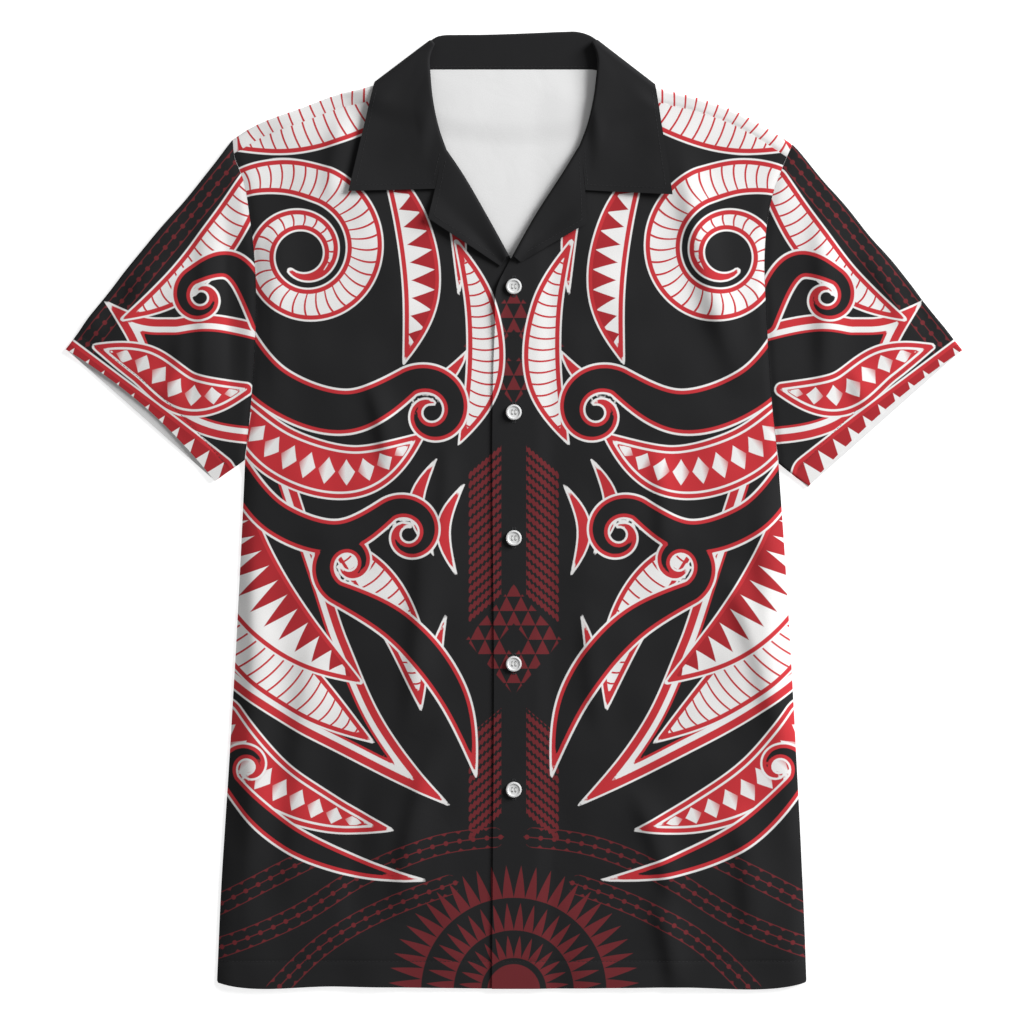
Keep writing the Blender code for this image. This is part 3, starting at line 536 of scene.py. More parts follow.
    def sleeve_level(self, side: Side) -> Level:
        """The height of a sleeve's front: the top layer, pressed flatter towards the cuff.

        Args:
            side: the side of the shirt.

        Returns:
            A function of places across and along the shirt.
        """
        upper, lower = np.array(side.cuff_upper), np.array(side.cuff_lower)
        way = unit(upper - lower)

        def level(x: np.ndarray, y: np.ndarray) -> np.ndarray:
            """The middle of the sleeve front's cloth.

            Args:
                x: places across the shirt.
                y: places along it.

            Returns:
                Its height at each place.
            """
            x, y = np.asarray(x, float), np.asarray(y, float)
            off = np.abs((x - lower[0]) * way[1] - (y - lower[1]) * way[0])
            top = self.top_level(x, y)
            near = smooth((self.cuff_press_from - off) / self.cuff_press_over)
            return top + (self.cuff_level - top) * self.cuff_press * near

        return level

    def side_x(self, side: Side, y: np.ndarray) -> np.ndarray:
        """Where the side seam is at a height along the body."""
        curve = through(side.body)
        return np.interp(-np.asarray(y, float), -curve[:, 1], curve[:, 0])

    def front_level(self, side: Side) -> Level:
        """The height of a front: the top layer, rolled down to the side seam and lapped at the placket.

        Args:
            side: the side of the shirt.

        Returns:
            A function of places across and along the shirt.
        """
        low = self.back_mid + self.layer

        def level(x: np.ndarray, y: np.ndarray) -> np.ndarray:
            """The middle of the front's cloth.

            Args:
                x: places across the shirt.
                y: places along it.

            Returns:
                Its height at each place.
            """
            x, y = np.asarray(x, float), np.asarray(y, float)
            inside = np.abs(self.side_x(side, y)) - np.abs(x)
            below_arm = smooth((side.body[0][1] + self.underarm_start - y) / self.underarm_over)
            share = 1.0 - np.clip(inside / self.side_roll, 0.0, 1.0)
            rolled = 1.0 - below_arm * share**self.roll_curve
            edge = low + (self.side_edge - low) * below_arm
            height = edge + (self.top_level(x, y) - edge) * rolled
            if side.sign > 0:
                lap = smooth((self.lap_end + self.lap_margin + self.lap_ramp - x) / self.lap_ramp)
                height = height + self.layer * lap * smooth((self.lap_top_y - y) / self.lap_top_over)
                height = height + self.lap_rise * ramps((x, y, y), self.free_edge)
            above_hem = y - (self.hem_y + self.hem_margin + self.hem_depth)
            return height - self.stitch_dip * np.exp(-((above_hem / self.hem_dip_width) ** 2))

        return level


# ---------------- meshes of cloth


@dataclass
class Cloth:
    """Points of one piece of cloth, its faces and each point's place on the flat cut."""

    points: np.ndarray
    faces: Faces
    cut: np.ndarray

    def add(self, rows: Sequence[np.ndarray], cuts: Sequence[np.ndarray]) -> None:
        """Adds rows of points with quads between them.

        Args:
            rows: the rows, all as long.
            cuts: their places on the flat cut.
        """
        count = len(rows[0])
        self.faces = self.faces + grid_faces(len(rows), count, first=len(self.points))
        self.points = np.concatenate([self.points, *rows])
        self.cut = np.concatenate([self.cut, *cuts])


def grid_faces(rows: int, columns: int, first: int = 0, closed: bool = False) -> Faces:
    """Quads between rows of points.

    Args:
        rows: how many rows there are.
        columns: how many points each has.
        first: the number of the first point.
        closed: whether each row's last point joins its first.

    Returns:
        The quads as tuples of point numbers.
    """
    faces = []
    for row in range(rows - 1):
        for column in range(columns if closed else columns - 1):
            a = first + row * columns + column
            b = first + row * columns + (column + 1) % columns
            faces.append((a, b, b + columns, a + columns))
    return faces


def fill_outline(
    outline: Line, spacing: float, insets: Sequence[float], creases: Sequence[Line] = (),
) -> tuple[Line, Faces]:
    """Triangles over a closed outline, with rows that follow its edge and an even field inside.

    Args:
        outline: the edge in plan.
        spacing: the distance between points inside.
        insets: how far in from the edge each of the rows lies.
        creases: lines that get rows of points of their own.

    Returns:
        The points in plan and the triangles.
    """
    low, high = outline.min(axis=0), outline.max(axis=0)
    closed = np.concatenate([outline, outline[:1]])
    turn = np.sum(closed[:-1, 0] * closed[1:, 1] - closed[1:, 0] * closed[:-1, 1])
    padded = np.concatenate([outline[-1:], outline, outline[:1]])
    away = normals(padded, math.copysign(1.0, turn))[1:-1]
    groups = [outline]
    for inset in insets:
        row = outline + away * inset
        row = row[inside_outline(row, outline)]
        groups.append(row[curve_distance(row[:, 0], row[:, 1], closed) > INSET_KEPT * inset])
    rows = []
    for number, y in enumerate(np.arange(low[1], high[1], spacing * ROW_RISE)):
        shift = spacing / 2 * (number % 2)
        rows += [(x, y) for x in np.arange(low[0] + shift, high[0], spacing)]
    even = np.array(rows)
    even = even[inside_outline(even, outline)]
    apart = max(insets, default=0.0) + spacing * EDGE_CLEAR
    even = even[curve_distance(even[:, 0], even[:, 1], closed) > apart]
    for crease in creases:
        even = even[curve_distance(even[:, 0], even[:, 1], crease) > spacing * CREASE_CLEAR]
        row = every(crease, spacing)
        row = row[inside_outline(row, outline)]
        groups.append(row[curve_distance(row[:, 0], row[:, 1], closed) > apart])
    groups.append(even)
    points = np.concatenate(groups)
    count = len(outline)
    edges = [(i, (i + 1) % count) for i in range(count)]
    flat = [Vector((float(x), float(y))) for x, y in points]
    corners, _, faces, *_ = delaunay_2d_cdt(flat, edges, [], 1, 1e-5)
    return np.array([tuple(corner) for corner in corners]), [tuple(face) for face in faces]


def raised(plan: Line, level: Level) -> np.ndarray:
    """Points in plan, each at its height."""
    return lifted(plan, level(plan[..., 0], plan[..., 1]))


def lifted(plan: Line, height: np.ndarray) -> np.ndarray:
    """Points in plan, each with a height."""
    return np.concatenate([plan, np.asarray(height)[..., None]], axis=-1)


def placed(name: str, mesh: bpy.types.Mesh) -> bpy.types.Object:
    """Puts a mesh in the scene, selected and active on its own.

    Args:
        name: the object's name.
        mesh: its mesh.

    Returns:
        The object.
    """
    thing = bpy.data.objects.new(name, mesh)
    bpy.context.scene.collection.objects.link(thing)
    bpy.ops.object.select_all(action="DESELECT")
    thing.select_set(True)
    bpy.context.view_layer.objects.active = thing
    return thing


def sew(
    name: str,
    cloth: Cloth,
    away_from: Place,
    materials: Sequence[bpy.types.Material],
    fields: Optional[dict[str, np.ndarray]] = None,
    thickness: float = 0.9,
) -> bpy.types.Object:
    """Makes a piece of cloth as an object: a mid surface that is given its thickness.

    Args:
        name: the piece's name.
        cloth: its points, faces and cut.
        away_from: a place across the shirt and a height, which the outside faces away from.
        materials: the outside's finish, then the inside's where it has one of its own.
        fields: values for each point that the print reads.
        thickness: the cloth's thickness in millimetres.

    Returns:
        The finished object.
    """
    mesh = bpy.data.meshes.new(name)
    mesh.from_pydata([Vector(point) * MM for point in cloth.points], [], cloth.faces)
    for label, values in (fields or {}).items():
        kept = mesh.attributes.new(label, "FLOAT_VECTOR", "POINT")
        kept.data.foreach_set("vector", np.asarray(values, np.float32).ravel())
    corner_points = np.empty(len(mesh.loops), np.int32)
    mesh.loops.foreach_get("vertex_index", corner_points)
    layer = mesh.uv_layers.new(name="cut")
    layer.data.foreach_set("uv", (cloth.cut[corner_points] * MM).astype(np.float32).ravel())
    work = bmesh.new()
    work.from_mesh(mesh)
    bmesh.ops.remove_doubles(work, verts=work.verts, dist=0.00002)
    bmesh.ops.recalc_face_normals(work, faces=work.faces)
    reference = Vector((away_from[0] * MM, 0.0, away_from[1] * MM))
    outward = sum(
        (face.calc_center_median() - reference).dot(face.normal) * face.calc_area() for face in work.faces
    )
    if outward < 0:
        bmesh.ops.reverse_faces(work, faces=work.faces)
    work.to_mesh(mesh)
    work.free()
    for material in materials:
        mesh.materials.append(material)
    thing = placed(name, mesh)
    wall = thing.modifiers.new("wall", "SOLIDIFY")
    wall.thickness = thickness * MM
    wall.offset = 0.0
    wall.use_even_offset = False
    wall.use_quality_normals = True
    wall.material_offset = len(materials) - 1
    bpy.ops.object.modifier_apply(modifier="wall")
    bpy.ops.object.shade_smooth_by_angle(angle=math.radians(50))
    return thing


def cut_area(cloth: Cloth) -> float:
    """The flat area of a piece's cut.

    Args:
        cloth: the piece.

    Returns:
        Its square metres.
    """
    total = 0.0
    for face in cloth.faces:
        corners = cloth.cut[list(face)]
        after = np.roll(corners, -1, axis=0)
        total += abs(np.sum(corners[:, 0] * after[:, 1] - after[:, 0] * corners[:, 1])) / 2
    return total * MM * MM


def declare(
    thing: bpy.types.Object, cloth: Cloth, node: str,
) -> None:
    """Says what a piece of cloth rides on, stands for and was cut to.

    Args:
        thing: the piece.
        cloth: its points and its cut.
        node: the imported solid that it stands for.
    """
    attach(thing, BODY)
    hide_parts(node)
    size = (cloth.cut.max(axis=0) - cloth.cut.min(axis=0)) * MM
    area = min(cut_area(cloth), float(size[0] * size[1]))
    log.info("%s: cut %.0f x %.0f mm, %.4f m2, %d faces", thing.name, *(size / MM), area,
             len(thing.data.polygons))


# ---------------- the print's forms


@dataclass(frozen=True)
class Stroke:
    """A form of the print: a line through places, with a width at each, that may end in a curl."""

    places: Places
    widths: tuple[float, ...]

    def path(self) -> tuple[Line, np.ndarray]:
        """The stroke's middle line and its half width along it.

        Returns:
            The line's points and the half widths.
        """
        curve = through(self.places, per_span=60)
        knots = np.linspace(0.0, 1.0, len(self.widths))
        along = lengths(curve) / lengths(curve)[-1]
        rows = np.stack([knots * 100.0, np.array(self.widths)], axis=1)
        eased = through([tuple(row) for row in rows], per_span=24)
        return curve, np.maximum(np.interp(along * 100.0, eased[:, 0], eased[:, 1]), 0.05)

    def line(self, spacing: float = 1.5) -> tuple[Line, np.ndarray]:
        """The stroke's middle line in even steps, and its half width at each.

        Args:
            spacing: the length of a step.

        Returns:
            The line's points and the half widths.
        """
        curve, width = self.path()
        run = lengths(curve)
        where = np.linspace(0.0, run[-1], max(4, round(float(run[-1]) / spacing)) + 1)
        return at_lengths(curve, where), np.interp(where, run, width)


@dataclass(frozen=True)
class Curl(Stroke):
    """A stroke that winds into a spiral at its end."""

    turns: float = 1.4
    start_radius: float = 30.0
    end_radius: float = 6.0
    hand: int = 1
    taper: Place = (0.82, 1.3)

    def path(self) -> tuple[Line, np.ndarray]:
        """The stroke's middle line with its spiral, and its half width along both.

        Returns:
            The line's points and the half widths.
        """
        curve, width = super().path()
        heading = unit(curve[-1] - curve[-2])
        inward = self.hand * np.array([-heading[1], heading[0]])
        centre = curve[-1] + inward * self.start_radius
        begin = math.atan2(*(curve[-1] - centre)[::-1])
        t = np.linspace(0.0, 1.0, round(160 * self.turns))[1:]
        radius = self.start_radius * (self.end_radius / self.start_radius) ** t
        angle = begin + self.hand * t * self.turns * math.tau
        spiral = centre + radius[:, None] * np.stack([np.cos(angle), np.sin(angle)], axis=1)
        share, power = self.taper
        taper = width[-1] * (1.0 - share * t**power)
        return np.concatenate([curve, spiral]), np.concatenate([width, taper])


def stroke_field(
    cut: Line, strokes: Sequence[Stroke], batch: int = 4000, margin: float = 14.0, least: float = 0.3,
) -> np.ndarray:
    """How each point of cloth lies to the nearest of some strokes.

    Args:
        cut: the points' places on the flat cut.
        strokes: the forms.
        batch: how many points are worked out at a time.
        margin: how far outside a form its values are worked out.
        least: how far a bend may shorten the distance along its inner side.

    Returns:
        For each point: its distance outside the form's edge (below 0 inside), its distance
        along the form, and its place across the form from -1 to 1.
    """
    result = np.zeros((len(cut), 3))
    result[:, 0] = 1e3
    for stroke in strokes:
        curve, width = stroke.line()
        run = lengths(curve)
        heading = units(np.gradient(curve, axis=0))
        bend = np.gradient(np.unwrap(np.arctan2(heading[:, 1], heading[:, 0]))) / np.gradient(run)
        bend = np.convolve(np.pad(bend, 3, mode="edge"), np.full(7, 1.0 / 7.0), mode="valid")
        reach = width.max() + margin
        low, high = curve.min(axis=0) - reach, curve.max(axis=0) + reach
        near = np.flatnonzero(np.all((cut > low) & (cut < high), axis=1))
        for part in np.array_split(near, len(near) // batch + 1):
            offset = cut[part][:, None] - curve[None]
            away = np.hypot(offset[..., 0], offset[..., 1])
            nearest = away.argmin(axis=1)
            edge = (away - width).min(axis=1)
            step, ahead_way = offset[np.arange(len(part)), nearest], heading[nearest]
            side = ahead_way[:, 0] * step[:, 1] - ahead_way[:, 1] * step[:, 0]
            stretch = np.maximum(1.0 - bend[nearest] * side, least)
            along = run[nearest] + (step * ahead_way).sum(axis=1) / stretch
            across = np.clip(side / np.interp(along, run, width), -3.0, 3.0)
            found = np.stack([edge, along, across], axis=1)
            closer = edge < result[part, 0]
            result[part[closer]] = found[closer]
    return result


class Motif(Enum):
    """The kinds of form in the print, from the lowest to the uppermost."""

    GARLAND = "print_garland"
    BAND = "print_band"
    RUNG = "print_rung"
    KITE = "print_kite"
    TOOTH = "print_tooth"
    SWEEP = "print_sweep"


Forms = dict[Motif, tuple[Stroke, ...]]

SHELL = Curl(
    ((236, 250), (214, 262), (184, 266), (150, 258)), (10, 14, 16),
    turns=1.55, start_radius=57, end_radius=17, hand=1,
)
BODY_FORMS: Forms = {
    Motif.GARLAND: (
        Stroke(((16, -262), (60, -268), (120, -292), (176, -326), (240, -352)), (9, 9)),
        Stroke(((52, -300), (100, -318), (150, -346), (190, -384)), (9, 9)),
        Stroke(((150, -272), (190, -292), (236, -316)), (9, 9)),
    ),
    Motif.BAND: (
        Stroke(((252, 24), (214, -66), (160, -140), (104, -196), (52, -236)), (74, 68, 46, 20, 1)),
        Stroke(((62, 40), (78, 4), (64, -36)), (1, 6.5, 1)),
        Stroke(((58, 270), (45, 224), (44, 172)), (1, 6.5, 1)),
        Stroke(((98, 104), (64, 100), (36, 128)), (2, 6.5, 1)),
        Stroke(((40, 20), (56, -14), (46, -52)), (1, 6, 1)),
        Stroke(((54, -84), (62, -132), (44, -176)), (1, 6, 1)),
    ),
    Motif.RUNG: (
        Stroke(((80, 352), (120, 326), (172, 306), (222, 296)), (21, 24, 22, 10)),
        Stroke(((46, 214), (26, 160), (24, 104), (44, 52)), (2, 13, 15, 1)),
        Stroke(((240, -52), (206, -108), (162, -150), (112, -186)), (28, 27, 19, 1)),
        Stroke(((152, -20), (116, -52), (86, -104), (74, -160)), (2, 17, 15, 1)),
        SHELL,
    ),
    Motif.KITE: (
        Stroke(((230, 92), (184, 44), (128, 30), (70, 62)), (12, 22, 21, 1)),
        Stroke(((236, -172), (198, -216), (150, -242), (96, -256)), (24, 23, 16, 1)),
    ),
    Motif.TOOTH: (
        Stroke(((240, 22), (222, -38), (180, -96), (122, -138)), (26, 29, 22, 2)),
        Stroke(((106, 282), (82, 230), (74, 172), (88, 116)), (2, 14, 15, 1)),
    ),
    Motif.SWEEP: (
        Curl(((232, 150), (190, 96), (132, 78), (84, 102)), (18, 19, 19, 13), 1.15, 30, 8),
        Curl(((226, 40), (188, -8), (140, -22), (100, 0)), (12, 15, 15, 11), 1.15, 25, 7),
        Curl(((30, -214), (50, -146), (92, -94), (142, -66)), (1, 13, 15, 11), 1.15, 25, 7),
        Curl(((70, -296), (130, -284), (188, -256), (226, -218)), (1, 9, 12, 9), 1.0, 19, 6),
    ),
}
BACK_SHOULDER = Stroke(((84, 368), (124, 344), (178, 322), (226, 306)), (21, 24, 22, 14))
BACK_FORMS: Forms = {**BODY_FORMS, Motif.RUNG: (BACK_SHOULDER, *BODY_FORMS[Motif.RUNG][1:])}
SLEEVE_FORMS: Forms = {
    Motif.GARLAND: (
        Stroke(((212, 290), (280, 207), (350, 120)), (9, 9)),
        Stroke(((226, 330), (300, 240), (380, 142)), (9, 9)),
    ),
    Motif.BAND: (
        Stroke(((206, 100), (246, 110), (284, 132), (326, 166)), (48, 48, 30, 12, 1)),
    ),
    Motif.RUNG: (
        Stroke(((208, 262), (234, 218), (266, 180), (312, 152)), (12, 16, 14, 2)),
        Stroke(((300, 360), (350, 310), (420, 260)), (16, 20, 14)),
    ),
    Motif.KITE: (
        Stroke(((334, 130), (296, 116), (260, 92), (214, 96)), (3, 17, 18, 6)),
        Stroke(((320, 300), (370, 260), (410, 200)), (12, 18, 3)),
    ),
    Motif.TOOTH: (
        Stroke(((364, 124), (324, 94), (284, 64), (238, 28)), (17, 17, 17, 17)),
    ),
    Motif.SWEEP: (
        Curl(((200, 150), (230, 196), (258, 186)), (12, 13, 9), 1.1, 19, 6, -1),
    ),
}


def print_fields(cut: Line, forms: Forms) -> dict[str, np.ndarray]:
    """The print's values for each point of a piece, alike on both sides of the middle.

    Args:
        cut: the points' places on the flat cut.
        forms: the strokes of each motif.

    Returns:
        A vector for each point, by the motif's name.
    """
    folded = np.stack([np.abs(cut[:, 0] - MIDDLE_X), cut[:, 1]], axis=1)
    return {motif.value: stroke_field(folded, forms.get(motif, ())) for motif in Motif}


# ---------------- finishes


class Wire:
    """A value in a material, whose arithmetic adds Math nodes."""

    def __init__(self, bench: "Bench", socket: bpy.types.NodeSocket) -> None:
        """Keeps the socket and the material's bench."""
        self.bench = bench
        self.socket = socket

    def maths(self, operation: str, *others: Value, clamp: bool = False) -> "Wire":
        """A Math node's result on this value and others."""
        settings = {"operation": operation, "use_clamp": clamp}
        return self.bench.add("ShaderNodeMath", settings, dict(enumerate((self, *others))))[0]

    def __add__(self, other: Value) -> "Wire":
        """This value plus another."""
        return self.maths("ADD", other)

    def __radd__(self, other: float) -> "Wire":
        """A number plus this value."""
        return self.maths("ADD", other)

    def __sub__(self, other: Value) -> "Wire":
        """This value less another."""
        return self.maths("SUBTRACT", other)

    def __rsub__(self, other: float) -> "Wire":
        """A number less this value."""
        return self.bench.add("ShaderNodeMath", {"operation": "SUBTRACT"}, {0: other, 1: self})[0]

    def __mul__(self, other: Value) -> "Wire":
        """This value times another."""
        return self.maths("MULTIPLY", other)

    def __rmul__(self, other: float) -> "Wire":
        """A number times this value."""
        return self.maths("MULTIPLY", other)

    def __truediv__(self, other: Value) -> "Wire":
        """This value divided by another."""
        return self.maths("DIVIDE", other)

    def __abs__(self) -> "Wire":
        """This value without its sign."""
        return self.maths("ABSOLUTE")

    def most(self, other: Value) -> "Wire":
        """The larger of two values."""
        return self.maths("MAXIMUM", other)

    def part(self) -> "Wire":
        """What is left over a whole number."""
        return self.maths("FRACT")

    def whole(self) -> "Wire":
        """The whole number at or below this value."""
        return self.maths("FLOOR")

    def below(self, edge: Value, soft: float) -> "Wire":
        """1 where this value is below an edge, and 0 above it, with a soft step between."""
        return ((edge - self) * (1.0 / soft)).maths("ADD", 0.5, clamp=True)

    def within(self, low: float, high: float, soft: float) -> "Wire":
        """1 between two edges."""
        return abs(self - (low + high) / 2.0).below((high - low) / 2.0, soft)


class Bench:
    """The node tree of one material, with a surface shader ready on it."""

    def __init__(self, name: str) -> None:
        """Makes the material.

        Args:
            name: its name.
        """
        self.material = bpy.data.materials.new(name)
        self.material.use_nodes = True
        self.tree = self.material.node_tree
        self.surface = self.tree.nodes["Principled BSDF"]

    def add(self, kind: str, settings: dict, values: dict) -> list[Wire]:
        """Adds a node.

        Args:
            kind: the node's type.
            settings: its own choices, set first.
            values: a number, a vector or a wire for each of its sockets.

        Returns:
            Its results.
        """
        node = self.tree.nodes.new(kind)
        for name, value in settings.items():
            setattr(node, name, value)
        self.feed(node, values)
        return [Wire(self, socket) for socket in node.outputs if socket.enabled]

    def feed(self, node: bpy.types.Node, values: dict) -> None:
        """Gives a node's sockets their numbers or links.

        Args:
            node: the node.
            values: a number, a vector or a wire for each socket.
        """
        for name, value in values.items():
            if isinstance(value, Wire):
                self.tree.links.new(value.socket, node.inputs[name])
            else:
                node.inputs[name].default_value = value

    def place(self) -> Wire:
        """Where a point is on its object, in metres."""
        return self.add("ShaderNodeTexCoord", {}, {})[3]

    def cut(self) -> Wire:
        """Where a point of cloth is on its flat cut, in metres."""
        return self.add("ShaderNodeUVMap", {"uv_map": "cut"}, {})[0]

    def noise(self, place: Wire, scale: float, detail: float, distortion: float = 0.0) -> Wire:
        """A soft random pattern, from 0 to 1."""
        values = {"Vector": place, "Scale": scale, "Detail": detail, "Distortion": distortion}
        return self.add("ShaderNodeTexNoise", {}, values)[0]

    def bump(self, height: Wire, distance: float, strength: float) -> Wire:
        """A normal that leans with a height."""
        values = {"Distance": distance, "Strength": strength, "Height": height}
        return self.add("ShaderNodeBump", {}, values)[0]

    def mix(self, share: Value, under: Colour, over: Colour) -> Wire:
        """A colour between two others."""
        return self.add("ShaderNodeMix", {"data_type": "RGBA"}, {0: share, 6: under, 7: over})[0]

    def scaled(self, colour: Colour, strength: Wire) -> Wire:
        """A colour made lighter or darker."""
        colour = colour if isinstance(colour, Wire) else colour[:3]
        return self.add("ShaderNodeVectorMath", {"operation": "SCALE"}, {0: colour, 3: strength})[0]

    def finish(self, **values: Union[Value, tuple]) -> bpy.types.Material:
        """Feeds the surface shader, whose sockets are named with _ for a space."""
        self.feed(self.surface, {name.replace("_", " "): value for name, value in values.items()})
        return self.material


def paint(red: int, green: int, blue: int) -> tuple[float, float, float, float]:
    """A colour as the shader takes it, from the numbers that a screen shows.

    Args:
        red: from 0 to 255.
        green: as red.
        blue: as red.

    Returns:
        The opaque colour.
    """
    steps = [value / 255.0 for value in (red, green, blue)]
    linear = [step / 12.92 if step <= 0.04045 else ((step + 0.055) / 1.055) ** 2.4 for step in steps]
    return (*linear, 1.0)


class Ink(Enum):
    """The print's colours."""

    BLACK = paint(37, 37, 38)
    WHITE = paint(236, 235, 234)
    RED = paint(196, 54, 60)
    DEEP_RED = paint(170, 46, 52)
    EMBER = paint(112, 44, 48)
    INSIDE = paint(232, 232, 232)


CLOTH_SHEEN = {"Sheen_Weight": 0.02, "Sheen_Roughness": 0.5, "Specular_IOR_Level": 0.08}


@dataclass(frozen=True)
class Grain:
    """The weave of a light shirt cotton, as a bump and a slight unevenness of tone."""

    pitch: float = 0.55
    depth: float = 0.05
    crease: float = 0.7
    crease_scale: float = 30.0
    mottle: float = 0.22
    wear_scale: float = 14.0

    def bump(self, bench: Bench) -> Wire:
        """A normal that the weave and the cloth's small creases give.

        Args:
            bench: the material's bench.

        Returns:
            The normal.
        """
        weave = bench.noise(bench.cut(), 1.0 / (self.pitch * MM), 2.0)
        crease = bench.noise(bench.place(), self.crease_scale, 3.0, 0.7)
        return bench.bump(weave * self.depth + crease * self.crease, MM, 0.5)

    def tone(self, bench: Bench, colour: Colour) -> Wire:
        """A colour made a little lighter and darker by the yarns and by wear.

        Args:
            bench: the material's bench.
            colour: the cloth's colour.

        Returns:
            The uneven colour.
        """
        yarns = bench.noise(bench.cut(), 0.7 / (self.pitch * MM), 3.0)
        worn = bench.noise(bench.place(), self.wear_scale, 2.0)
        strength = (yarns - 0.5) * self.mottle + (worn - 0.5) * (self.mottle * 0.5) + 1.0
        return bench.scaled(colour, strength)


@dataclass(frozen=True)
class PlainCloth:
    """Cloth of one colour."""

    name: str
    ink: Ink
    roughness: float = 0.82
    grain: Grain = Grain()

    def material(self) -> bpy.types.Material:
        """Makes the cloth's material.

        Returns:
            The material.
        """
        bench = Bench(self.name)
        colour, bump = self.grain.tone(bench, self.ink.value), self.grain.bump(bench)
        return bench.finish(Base_Color=colour, Roughness=self.roughness, Normal=bump, **CLOTH_SHEEN)


